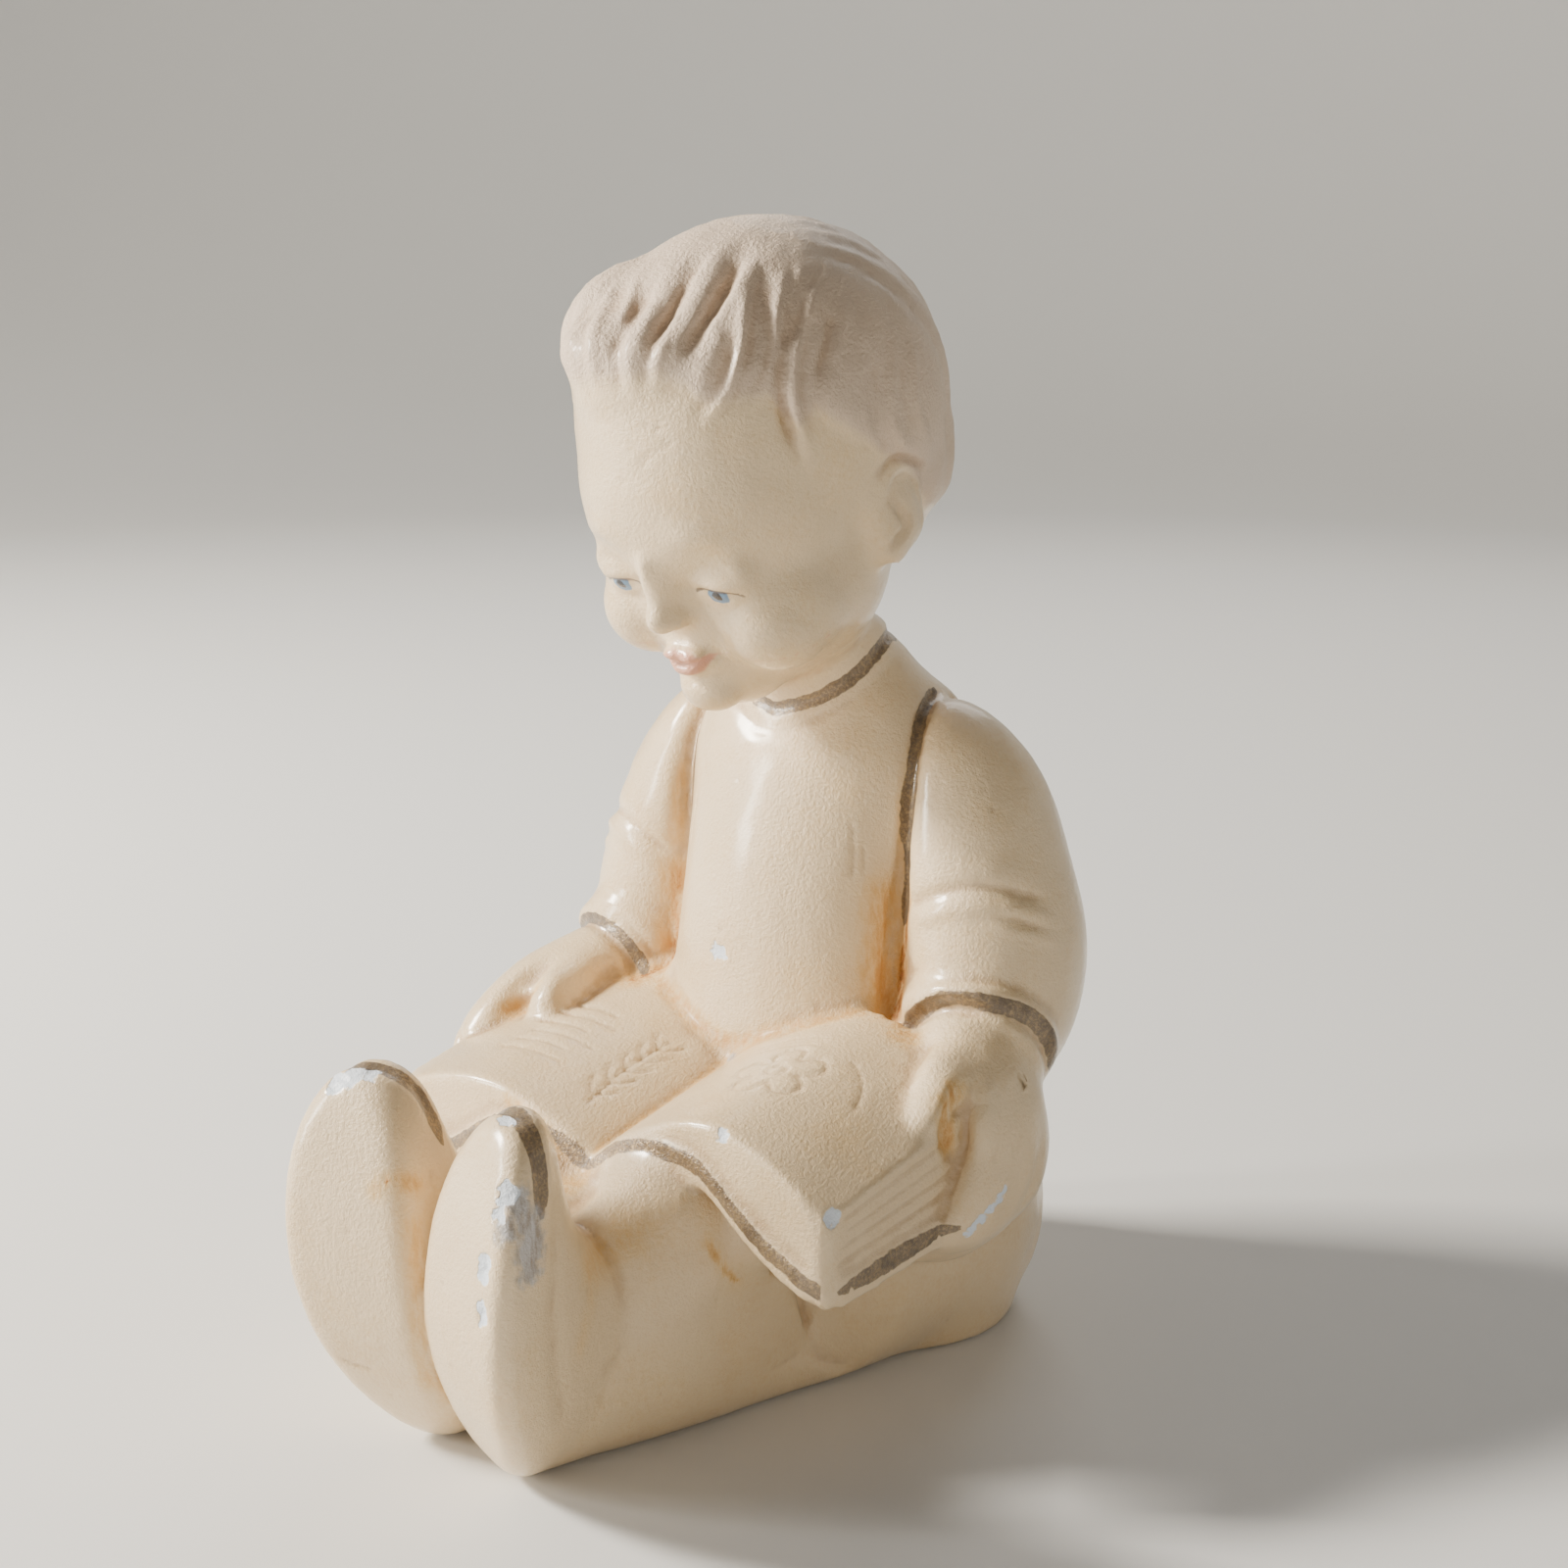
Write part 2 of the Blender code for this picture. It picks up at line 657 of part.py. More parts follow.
def cut_flat(mesh):
    """Cuts the casting off at the floor and closes the cut with one flat face."""
    bm = bmesh.new()
    bm.from_mesh(mesh)
    bmesh.ops.triangulate(bm, faces=bm.faces)
    everything = bm.verts[:] + bm.edges[:] + bm.faces[:]
    cut = bmesh.ops.bisect_plane(
        bm, geom=everything, plane_co=(0, 0, 0), plane_no=(0, 0, 1), clear_inner=True, dist=1e-5
    )
    for element in cut["geom_cut"]:
        if isinstance(element, bmesh.types.BMVert):
            element.co.z = 0
    rim = [e for e in cut["geom_cut"] if isinstance(e, bmesh.types.BMEdge)]
    bmesh.ops.contextual_create(bm, geom=rim)
    bmesh.ops.triangulate(bm, faces=bm.faces)
    bmesh.ops.recalc_face_normals(bm, faces=bm.faces)
    return finished(bm, "casting")


def painted_plaster():
    """Cast plaster under cream paint with a thin satin varnish."""
    material = bpy.data.materials.new("painted plaster")
    material.use_nodes = True
    shader = material.node_tree.nodes["Principled BSDF"]
    shader.inputs["Base Color"].default_value = PLASTER_CREAM
    shader.inputs["Roughness"].default_value = PLASTER_ROUGHNESS
    shader.inputs["Metallic"].default_value = 0.0
    return material


def main():
    clear_scene()
    limbs = [arm(), leg()]
    body = fused([torso(), *lap(), *knees(), *limbs, *mirrored(limbs)], COARSE_VOXEL, 12)
    head = fused(skull(), COARSE_VOXEL, 10)
    pairs = [foot(), cuff()]
    small = [*pairs, *mirrored(pairs), *left_hand(), *right_hand(), *book(), *features()]
    whole = fused([body, head, *small], FINE_VOXEL, 5)
    skin = Skin(whole)
    raise_hair(skin)
    comb_hair(skin)
    carve_clothes(skin)
    carve_hands(skin)
    carve_face(skin)
    skin.finish()
    casting = cut_flat(thinned(whole, SKIN_TRIANGLES))
    casting.name = "reading_boy"
    casting.materials.append(painted_plaster())
    obj = bpy.data.objects.new("reading_boy", casting)
    collection = bpy.data.collections.new("reading child figurine")
    bpy.context.scene.collection.children.link(collection)
    collection.objects.link(obj)


main()
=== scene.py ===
# %% [markdown]
# # A painted plaster child with an open book
#
# The real figurine is one casting of plaster, painted cream, varnished and then kept on a shelf for
# decades. The packed part gives its solid in flat facets. This lesson makes the surface that an eye
# expects on it: smooth skin, combed hair, a crisp book, trim lines painted by hand, brown dust and
# brown painted shade in the corners and white chips on the edges.

import json
import math

import bmesh
import bpy
import numpy as np
from mathutils import Matrix, Vector, noise
from mathutils.bvhtree import BVHTree

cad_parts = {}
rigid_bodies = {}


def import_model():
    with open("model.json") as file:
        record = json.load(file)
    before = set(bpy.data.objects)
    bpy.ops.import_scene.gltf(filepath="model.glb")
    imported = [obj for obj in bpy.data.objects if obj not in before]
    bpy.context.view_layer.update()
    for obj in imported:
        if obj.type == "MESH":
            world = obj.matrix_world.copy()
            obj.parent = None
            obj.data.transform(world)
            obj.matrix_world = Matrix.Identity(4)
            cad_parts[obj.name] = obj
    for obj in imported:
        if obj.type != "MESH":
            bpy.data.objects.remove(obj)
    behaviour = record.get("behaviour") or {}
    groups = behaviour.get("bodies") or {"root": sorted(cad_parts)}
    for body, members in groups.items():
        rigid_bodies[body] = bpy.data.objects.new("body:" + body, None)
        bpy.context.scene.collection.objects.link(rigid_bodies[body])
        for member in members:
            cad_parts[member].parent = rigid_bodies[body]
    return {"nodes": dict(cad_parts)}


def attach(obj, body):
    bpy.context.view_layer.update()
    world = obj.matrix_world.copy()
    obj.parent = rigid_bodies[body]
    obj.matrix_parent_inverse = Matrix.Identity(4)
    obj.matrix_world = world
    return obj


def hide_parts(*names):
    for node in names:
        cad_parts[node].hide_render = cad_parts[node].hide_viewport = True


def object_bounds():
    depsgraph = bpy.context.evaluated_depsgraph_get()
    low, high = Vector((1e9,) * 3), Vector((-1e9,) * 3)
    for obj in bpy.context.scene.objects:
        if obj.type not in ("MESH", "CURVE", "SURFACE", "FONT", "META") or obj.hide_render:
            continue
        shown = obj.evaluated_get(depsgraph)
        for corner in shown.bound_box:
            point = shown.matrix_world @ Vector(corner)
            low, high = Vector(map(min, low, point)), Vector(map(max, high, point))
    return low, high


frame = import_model()
cad_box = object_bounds()
solid = frame["nodes"]["reading_boy"]
print("the packed part's box in metres:", [tuple(round(n, 4) for n in corner) for corner in cad_box])

# %% [markdown]
# ## Camera, floor and light
#
# The camera comes first, because every later choice of fineness depends on how near it stands. It
# looks down a little from the child's front left. The floor turns up into a wall all round, like the
# paper sweep in a photographer's studio, so no horizon line shows from any side. One lamp from
# the left does the modelling, a tall narrow one gives the varnish something to shine with and a weak
# one from behind parts the figurine from the wall.

# %% Camera
MM = 0.001
EYE = Vector((212.5, -250.5, 152.6)) * MM
TURN_ROUND = math.radians(40.6)
LOOK_DOWN = math.radians(13.0)
LENS = 55.6
NEAREST_SEEN = 0.01

back = Vector((
    math.sin(TURN_ROUND) * math.cos(LOOK_DOWN),
    -math.cos(TURN_ROUND) * math.cos(LOOK_DOWN),
    math.sin(LOOK_DOWN),
))
camera = bpy.data.objects.new("camera", bpy.data.cameras.new("camera"))
camera.data.lens = LENS
camera.data.clip_start = NEAREST_SEEN
camera.location = EYE
camera.rotation_euler = (-back).to_track_quat("-Z", "Y").to_euler()
bpy.context.scene.collection.objects.link(camera)
bpy.context.scene.camera = camera
print("camera", round(EYE.length, 3), "m from the part, lens", LENS, "mm")


# %% Helpers that turn a bmesh into a mesh or an object
def as_mesh(bm, name):
    """Writes a bmesh to new mesh data and frees it."""
    mesh = bpy.data.meshes.new(name)
    bm.to_mesh(mesh)
    bm.free()
    return mesh


def shown(mesh, name):
    """Puts mesh data in the scene as an object at the origin."""
    obj = bpy.data.objects.new(name, mesh)
    bpy.context.scene.collection.objects.link(obj)
    return obj


# %% Floor with a wall that curves up all round
FLOOR_REACH = 1.0
WALL_CURVE = 0.5
WALL_HEIGHT = 0.85
CURVE_STEPS = 8
ROUND_STEPS = 64
PALE_PAPER = (0.78, 0.78, 0.77, 1)
DULL = 0.9


def paper_sweep():
    """A line from the middle outwards and up, spun into a round sweep."""
    bm = bmesh.new()
    line = [(0, 0), (FLOOR_REACH, 0)]
    for step in range(1, CURVE_STEPS + 1):
        turn = math.pi / 2 * step / CURVE_STEPS
        line.append((FLOOR_REACH + WALL_CURVE * math.sin(turn), WALL_CURVE * (1 - math.cos(turn))))
    line.append((FLOOR_REACH + WALL_CURVE, WALL_HEIGHT))
    points = [bm.verts.new((reach, 0, height)) for reach, height in line]
    edges = [bm.edges.new(pair) for pair in zip(points, points[1:])]
    whole_turn = {"cent": (0, 0, 0), "axis": (0, 0, 1), "angle": math.tau}
    bmesh.ops.spin(bm, geom=points + edges, steps=ROUND_STEPS, use_merge=True, **whole_turn)
    bmesh.ops.remove_doubles(bm, verts=bm.verts, dist=1e-5)
    bmesh.ops.recalc_face_normals(bm, faces=bm.faces)
    mesh = as_mesh(bm, "floor")
    mesh.shade_smooth()
    return mesh


floor = shown(paper_sweep(), "floor")
floor_paper = bpy.data.materials.new("pale paper")
floor_paper.use_nodes = True
paper_shader = floor_paper.node_tree.nodes["Principled BSDF"]
paper_shader.inputs["Base Color"].default_value = PALE_PAPER
paper_shader.inputs["Roughness"].default_value = DULL
floor.data.materials.append(floor_paper)
print("floor sweep with", len(floor.data.polygons), "faces")

# %% Lamps and sky
AIM = Vector((0, -20, 70)) * MM
SKY_COLOUR = (1.0, 0.97, 0.93, 1)
SKY_STRENGTH = 0.13


def lamp(name, away, size, watts, colour):
    """A soft lamp that faces the figurine. Its size is its width and its height."""
    light = bpy.data.lights.new(name, "AREA")
    light.shape = "RECTANGLE"
    light.size, light.size_y = size
    light.energy = watts
    light.color = colour
    obj = bpy.data.objects.new(name, light)
    obj.location = AIM + Vector(away)
    obj.rotation_euler = (-Vector(away)).to_track_quat("-Z", "Y").to_euler()
    bpy.context.scene.collection.objects.link(obj)


lamp("key lamp", (-0.70, -0.42, 0.46), (0.18, 0.18), 22.0, (1.0, 0.93, 0.82))
lamp("shine lamp", (-0.62, -0.66, 0.20), (0.07, 0.34), 6.0, (1.0, 0.95, 0.86))
lamp("rim lamp", (-0.35, 0.65, 0.55), (0.5, 0.5), 2.2, (1.0, 0.97, 0.93))
world = bpy.data.worlds.new("sky")
world.use_nodes = True
sky = world.node_tree.nodes["Background"]
sky.inputs["Color"].default_value = SKY_COLOUR
sky.inputs["Strength"].default_value = SKY_STRENGTH
bpy.context.scene.world = world

# %% [markdown]
# ## From facets to soft clay
#
# A caster's model starts as soft clay. The packed solid's facets are a few millimetres wide, so a
# copy of it is laid out again in even small squares with a Remesh modifier, and a Smooth modifier
# melts what is left of the facets. The solid itself isn't touched. A subdivision would keep the
# facets as dents, which is why the surface is made new.


# %% Grow forms together into one even skin
def after_modifiers(obj):
    """The mesh that an object's modifiers leave. The object itself goes."""
    bpy.context.view_layer.update()
    mesh = bpy.data.meshes.new_from_object(obj.evaluated_get(bpy.context.evaluated_depsgraph_get()))
    bpy.data.objects.remove(obj)
    return mesh


def grown_together(forms, voxel, passes):
    """Joins the forms, lays one even skin over them and softens it."""
    bm = bmesh.new()
    for form in forms:
        bm.from_mesh(form)
    obj = shown(as_mesh(bm, "clay"), "clay")
    remesh = obj.modifiers.new("one skin", "REMESH")
    remesh.mode = "VOXEL"
    remesh.voxel_size = voxel
    soften = obj.modifiers.new("soften", "SMOOTH")
    soften.factor = 0.5
    soften.iterations = passes
    return after_modifiers(obj)


BASE_VOXEL = 0.75 * MM
BASE_SOFTENING = 9


def melted_copy(node):
    """The packed node's mesh, merged and smoothed, on a copy."""
    bm = bmesh.new()
    bm.from_mesh(node.data)
    bmesh.ops.remove_doubles(bm, verts=bm.verts, dist=1e-6)
    return grown_together([as_mesh(bm, "merged")], BASE_VOXEL, BASE_SOFTENING)


body = melted_copy(solid)
print("smooth body:", len(body.vertices), "points")


# %% [markdown]
# ## A brush for soft clay
#
# Almost everything on the figurine is a stroke of a modelling tool: a groove between two locks, a
# seam, a fold, a lip. A stroke is a short path, laid on the skin, along which the skin is pushed in
# or pulled out. In the editor this would be the Draw brush; in a script the same brush is a few
# lines of arithmetic on all points at once, and every stroke can be repeated exactly.


# %% Smooth paths through a few points
def ramp(value, width):
    """Rises from 0 at 0 to 1 at the width, and stays there."""
    return np.clip(value / width, 0, 1)


def dome(share):
    """1 in the middle, where share is 0, and softly down to 0 where share is 1."""
    return 0.5 + 0.5 * np.cos(np.pi * share)


def smooth_path(points, steps=6):
    """A Catmull-Rom curve through the points."""
    rows = [np.array(point, float) for point in points]
    last = len(rows) - 1
    line = []
    for i in range(last):
        before, start, end, after = rows[max(i - 1, 0)], rows[i], rows[i + 1], rows[min(i + 2, last)]
        for k in range(steps):
            t = k / steps
            line.append(0.5 * (
                2 * start
                + (end - before) * t
                + (2 * before - 5 * start + 4 * end - after) * t**2
                + (3 * start - before - 3 * end + after) * t**3
            ))
    line.append(rows[last])
    return np.array(line)


def mirrored(points):
    """The same path on the child's other side."""
    return [(-x, y, z) for x, y, z in points]


def eased(line, passes):
    """Averages the line's points with their neighbours. Its ends stay."""
    for _ in range(passes):
        line[1:-1] = 0.5 * line[1:-1] + 0.25 * (line[:-2] + line[2:])
    return line


def away_from(points, spot):
    """How far each point is from one spot."""
    return np.linalg.norm(points - np.array(spot), axis=1)


def distance_along(points, line):
    """Each point's distance from the line, how far along that is, and the line's length."""
    best = np.full(len(points), np.inf)
    travelled = np.zeros(len(points))
    length = 0.0
    for start, end in zip(line, line[1:]):
        run = end - start
        reach = float(np.linalg.norm(run))
        if reach < 1e-9:
            continue
        share = ramp((points - start) @ run, reach**2)
        distance = np.linalg.norm(points - start - share[:, None] * run, axis=1)
        closer = distance < best
        best[closer] = distance[closer]
        travelled[closer] = length + share[closer] * reach
        length += reach
    return best, travelled, length


print("a path of 3 points becomes", len(smooth_path([(0, 0, 0), (1, 0, 0), (1, 1, 0)])), "points")


# %% The brush itself
class Clay:
    """A mesh as arrays in millimetres, with strokes that wait in lifts until they are set."""

    def __init__(self, mesh):
        self.mesh = mesh
        count = len(mesh.vertices)
        places = np.empty(count * 3, np.float32)
        mesh.vertices.foreach_get("co", places)
        self.points = places.reshape(-1, 3).astype(float) / MM
        self.ends = np.empty(len(mesh.edges) * 2, np.int32)
        mesh.edges.foreach_get("vertices", self.ends)
        self.ends = self.ends.reshape(-1, 2)
        self.lifts = np.zeros(count)
        self.look_again()
        faces = [tuple(face.vertices) for face in mesh.polygons]
        self.tree = BVHTree.FromPolygons(self.points.tolist(), faces)

    def look_again(self):
        """Gives the mesh the new places and reads its normals afresh."""
        self.mesh.vertices.foreach_set("co", (self.points * MM).astype(np.float32).ravel())
        self.mesh.update()
        facing = np.empty(len(self.points) * 3, np.float32)
        self.mesh.vertices.foreach_get("normal", facing)
        self.normals = facing.reshape(-1, 3).astype(float)

    def snapped(self, line, aim=None):
        """The nearest place on the skin to each point, or the place that lies straight ahead of it."""
        spots = []
        for point in line:
            hit = self.tree.ray_cast(point, aim) if aim else self.tree.find_nearest(point)
            spots.append(hit[0] or point)
        return np.array(spots)

    def laid(self, path, aside=0.0, aim=None):
        """The path's smooth curve on the skin, evened out and moved sideways by aside."""
        line = self.snapped(smooth_path(path), aim)
        line = self.snapped(eased(line, 5))
        line = eased(line, 2)
        if aside:
            facing = np.array([self.tree.find_nearest(point)[1] for point in line])
            ahead = np.gradient(line, axis=0)
            ahead /= np.linalg.norm(ahead, axis=1)[:, None] + 1e-9
            line = line + np.cross(ahead, facing) * aside
        return line

    def around(self, line, reach):
        """Which points lie in the line's box, with the reach added on all sides."""
        low, high = line.min(axis=0) - reach, line.max(axis=0) + reach
        return np.nonzero(((self.points > low) & (self.points < high)).all(axis=1))[0]

    def press(self, path, half_width, depth, aside=0.0, sharp=1.0, ends=1.0, aim=None):
        """A groove along the path, or a ridge where depth is negative. Its ends run out softly."""
        line = self.laid(path, aside, aim)
        near = self.around(line, half_width)
        best, travelled, length = distance_along(self.points[near], line)
        across = dome(ramp(best, half_width)) ** sharp
        if np.linalg.norm(line[0] - line[-1]) > half_width and ends:
            to_end = np.minimum(travelled, length - travelled)
            across = across * np.clip(0.15 + to_end / (2 * half_width * ends), 0, 1)
        self.lifts[near] -= depth * across

    def dab(self, spot, radius, depth, flat=0.0):
        """A round press at one spot. A flat of 0 is a soft dome and near 1 a level floor."""
        away = away_from(self.points, spot) / radius
        self.lifts -= depth * dome(ramp(away - flat, 1 - flat))

    def set(self):
        """Moves the skin by all waiting strokes together."""
        self.points += self.normals * self.lifts[:, None]
        self.lifts[:] = 0
        self.look_again()

    def relax(self, share, passes):
        """Smooths the skin where share is 1 and leaves it where share is 0."""
        chosen = np.nonzero(share > 0)[0]
        order = np.full(len(self.points), -1)
        order[chosen] = np.arange(len(chosen))
        pairs = order[self.ends]
        soft = evened(self.points[chosen], pairs[(pairs >= 0).all(axis=1)], passes)
        self.points[chosen] += (soft - self.points[chosen]) * share[chosen, None]
        self.look_again()


def evened(values, pairs, passes):
    """Averages values with their neighbours, a few times. A pair is the two ends of an edge."""
    count = len(values)
    a, b = pairs.T
    degree = np.maximum(np.bincount(a, minlength=count) + np.bincount(b, minlength=count), 1)
    columns = values.reshape(count, -1).copy()
    for _ in range(passes):
        for k in range(columns.shape[1]):
            column = columns[:, k]
            total = np.bincount(a, column[b], count) + np.bincount(b, column[a], count)
            columns[:, k] = 0.5 * column + 0.5 * total / degree
    return columns.reshape(values.shape)


print("brush strokes: press, dab, set and relax")

# %% [markdown]
# ## The book
#
# The open book lies on the knees: a block of pages in two humps over a cover. The melting took its
# edges away, so it is made again from the sizes that the solid was built with. A flat grid is the
# sheet of the pages; its points are moved to the humps, and the sheet is extruded down to the cover.
# The cover is the same sheet again, a little wider. This keeps the long curves of page and cover
# parallel, which hand-placed points never do.

# %% Sizes of the book, in millimetres
BOOK_HALF_WIDTH = 39.5
BOOK_DEPTH = 34.0
BOOK_LINE_Y = -41.0
BOOK_LINE_Z = 34.0
BOOK_TILT = math.radians(12.5)
LEFT_HUMP = 9.4
RIGHT_HUMP = 5.8
HUMP_AT_BELLY = 0.85
BLOCK_AT_CORNER = 8.5
BLOCK_GROWS = 6.0
COVER_THICKNESS = 3.9
BAND_HEIGHT = 2.2
COVER_LIP = 0.7
PAGE_LINE = [(0, 0), (0.14, 0.46), (0.36, 0.88), (0.55, 1), (0.78, 0.71), (1, 0.17)]
BLOCK_LINE = [(0, 0.04), (0.13, 0.07), (0.29, 0.22), (0.47, 0.53), (0.66, 1.02), (0.82, 1.16), (1, 1)]
page_curve = smooth_path([(share, height, 0) for share, height in PAGE_LINE], 5)
block_curve = smooth_path([(share, height, 0) for share, height in BLOCK_LINE], 5)


def page_height(x, depth):
    """The page's top at a place across the book and a depth in from the free edge."""
    share = np.minimum(abs(x) / BOOK_HALF_WIDTH, 1)
    hump = np.where(np.asarray(x) > 0, LEFT_HUMP, RIGHT_HUMP)
    top = hump * np.interp(share, page_curve[:, 0], page_curve[:, 1])
    inward = ramp(depth, BOOK_DEPTH)
    return BOOK_LINE_Z + top * (1 - (1 - HUMP_AT_BELLY) * inward) + math.tan(BOOK_TILT) * depth


def cover_height(x, depth):
    """The top of the cover under the pages at the same place."""
    share = np.minimum(abs(x) / BOOK_HALF_WIDTH, 1)
    inward = ramp(depth, BOOK_DEPTH)
    block = BLOCK_AT_CORNER * np.interp(share, block_curve[:, 0], block_curve[:, 1])
    scale = 1 - (1 - HUMP_AT_BELLY) * inward
    return page_height(x, depth) - block * scale - BLOCK_GROWS * share**2 * inward


def under_cover(x, depth):
    """The underside of the cover at the same place."""
    return cover_height(x, depth) - COVER_THICKNESS


def sheet_of_book(top, bottom, half_width, front, name):
    """A slab between two curved heights, from a flat grid that is bent and then extruded down."""
    bm = bmesh.new()
    bmesh.ops.create_grid(bm, x_segments=80, y_segments=24, size=0.5)
    for vert in bm.verts:
        x = vert.co.x * 2 * half_width
        depth = front + (vert.co.y + 0.5) * (BOOK_DEPTH - front)
        vert.co = Vector((x, depth, top(x, depth)))
    down = bmesh.ops.extrude_face_region(bm, geom=bm.faces[:])
    for element in down["geom"]:
        if isinstance(element, bmesh.types.BMVert):
            element.co.z = bottom(element.co.x, element.co.y)
    bmesh.ops.recalc_face_normals(bm, faces=bm.faces)
    bmesh.ops.translate(bm, vec=(0, BOOK_LINE_Y, 0), verts=bm.verts)
    bmesh.ops.scale(bm, vec=(MM, MM, MM), verts=bm.verts)
    return as_mesh(bm, name)


pages = sheet_of_book(page_height, cover_height, BOOK_HALF_WIDTH, 0.0, "pages")
cover = sheet_of_book(cover_height, under_cover, BOOK_HALF_WIDTH + COVER_LIP, -COVER_LIP, "cover")
print("pages and cover:", len(pages.polygons) + len(cover.polygons), "faces before they join the body")

# %% [markdown]
# ## Features of the face
#
# The face is a quiet child's face of this lesson's own, on the proportions that drawing books give:
# eyes a little under the middle of the head, one eye's width between them, a short nose and a small
# mouth in the lower quarter. It starts as a few egg shapes pressed on the head, as a modeller would
# press on pellets of clay. The head is shaped upright and then bowed, so each place is given for the
# upright head.

# %% Places on the bowed head
HEAD_CENTRE = Vector((0, -7.5, 122))
BOW = Matrix.Rotation(math.radians(24), 3, "X")


def on_head(x, y, z):
    """A place on the upright head, in millimetres from its middle, moved to the bowed head."""
    return BOW @ Vector((x, y, z)) + HEAD_CENTRE


def egg(centre, half_sizes, tilt=(0, 0, 0)):
    """An egg of clay pressed on the head."""
    bm = bmesh.new()
    turn = Matrix.Identity(4)
    for angle, axis in zip(tilt, "XYZ"):
        turn = Matrix.Rotation(math.radians(angle), 4, axis) @ turn
    place = Matrix.Translation(on_head(*centre)) @ BOW.to_4x4() @ turn @ Matrix.Diagonal((*half_sizes, 1))
    bmesh.ops.create_uvsphere(bm, u_segments=32, v_segments=20, radius=1, matrix=place)
    bmesh.ops.scale(bm, vec=(MM, MM, MM), verts=bm.verts)
    return as_mesh(bm, "egg")


def face_eggs():
    """Nose, lips, chin, cheeks, eyelids and ears."""
    eggs = [
        egg((0, -23.6, -4.8), (1.6, 2.2, 5.2), (14, 0, 0)),
        egg((0, -25.2, -9.2), (2.1, 2.3, 1.9)),
        egg((0, -23.6, -17.7), (2.7, 1.5, 1.15)),
        egg((0, -19.9, -22.2), (5.0, 4.3, 3.8)),
    ]
    for side in (-1, 1):
        eggs += [
            egg((side * 2.0, -24.1, -9.9), (1.3, 1.7, 1.3)),
            egg((side * 1.6, -23.6, -15.6), (2.2, 1.5, 1.05), (0, side * 8, 0)),
            egg((side * 10.4, -15.2, -13.2), (7.6, 7.4, 7.4)),
            egg((side * 8.4, -18.9, -5.2), (4.3, 4.3, 3.4)),
            egg((side * 20.7, 1.4, -6.4), (1.7, 4.2, 5.9), (8, 0, side * 6)),
        ]
    return eggs


eggs = face_eggs()
print(len(eggs), "eggs of clay for the face")

# %% Press everything together into one fine skin
FINE_VOXEL = 0.5 * MM
FINE_SOFTENING = 2
BOOK_SINK = 0.7
NEAR_BOOK = 1.0
BOOK_MARGIN = 0.6
SLOPE_REACH = 10
figure = Clay(body)


def sink_under_book(clay):
    """Sinks the melted book a little, so that the new crisp one stands clear of it."""
    x, y, z = clay.points.T
    depth = y - BOOK_LINE_Y
    inside = (abs(x) < BOOK_HALF_WIDTH + 1.5) & (depth > -1.8) & (depth < BOOK_DEPTH - 8)
    inside &= (z < page_height(x, depth) + BOOK_MARGIN) & (z > under_cover(x, depth) - BOOK_MARGIN)
    book_tree = BVHTree.FromPolygons(
        [tuple(v.co / MM) for v in pages.vertices], [tuple(f.vertices) for f in pages.polygons]
    )
    for k in np.nonzero(inside)[0]:
        away = book_tree.find_nearest(clay.points[k])[3]
        if away < NEAR_BOOK:
            clay.lifts[k] = -BOOK_SINK
    clay.lifts = evened(clay.lifts, clay.ends, 2)
    clay.set()


def gap_under_cover(points):
    """How far each point lies below the book's cover."""
    x, y, z = points.T
    return under_cover(x, np.clip(y - BOOK_LINE_Y, 0, BOOK_DEPTH)) - z


def slope_under_cover(clay):
    """Slopes the filling under the cover's outer corners back to the legs, so that it lies in shade."""
    # Nothing moves within 23 mm of the middle, where the legs carry the book
    x, y, _ = clay.points.T
    drop = ramp(gap_under_cover(clay.points) + 0.3, 7) * ramp(abs(x) - 23, 4) * (y > -39)
    inward = SLOPE_REACH * drop * ramp(-14 - y, 6)
    backward = SLOPE_REACH * drop * ramp(-22 - y, 10)
    clay.points[:, 0] -= np.sign(x) * inward
    clay.points[:, 1] += backward
    clay.look_again()


sink_under_book(figure)
slope_under_cover(figure)
for side in (-1, 1):
    figure.dab(on_head(side * 8.6, -23.6, -4.5), 6.5, 1.0)
    figure.dab(on_head(side * 23.5, 0, -7), 9, 1.3, flat=0.4)
figure.set()
clay = Clay(grown_together([figure.mesh, pages, cover, *eggs], FINE_VOXEL, FINE_SOFTENING))
print("fine skin:", len(clay.points), "points")


# %% Soften the slope under the cover
SLOPE_PASSES = 260
CREASE_PASSES = 1200
CREASE = [(24, -37, 19), (24.5, -34, 14), (24.5, -28, 9)]


def below_cover(points):
    """1 on the slope under the cover's outer corners, fading to 0 around it."""
    # It fades out towards the legs, the floor, the hips and the book's free edge
    x, y, z = points.T
    share = ramp(gap_under_cover(points), 2) * ramp(abs(x) - 18, 4)
    return share * ramp(z - 3, 5) * ramp(-8 - y, 6) * ramp(y + 43, 3)


def soften_crease(crease):
    """Smooths the crease where the slope meets the leg, and nothing above the cover."""
    away, _, _ = distance_along(clay.points, np.array(crease, float))
    under = ramp(gap_under_cover(clay.points), 1) * ramp(clay.points[:, 2], 4)
    clay.relax(ramp(13 - away, 5) * under, CREASE_PASSES)


clay.relax(below_cover(clay.points), SLOPE_PASSES)
soften_crease(mirrored(CREASE))
soften_crease(CREASE)
print("slope of", int((below_cover(clay.points) > 0).sum()), "points softened")

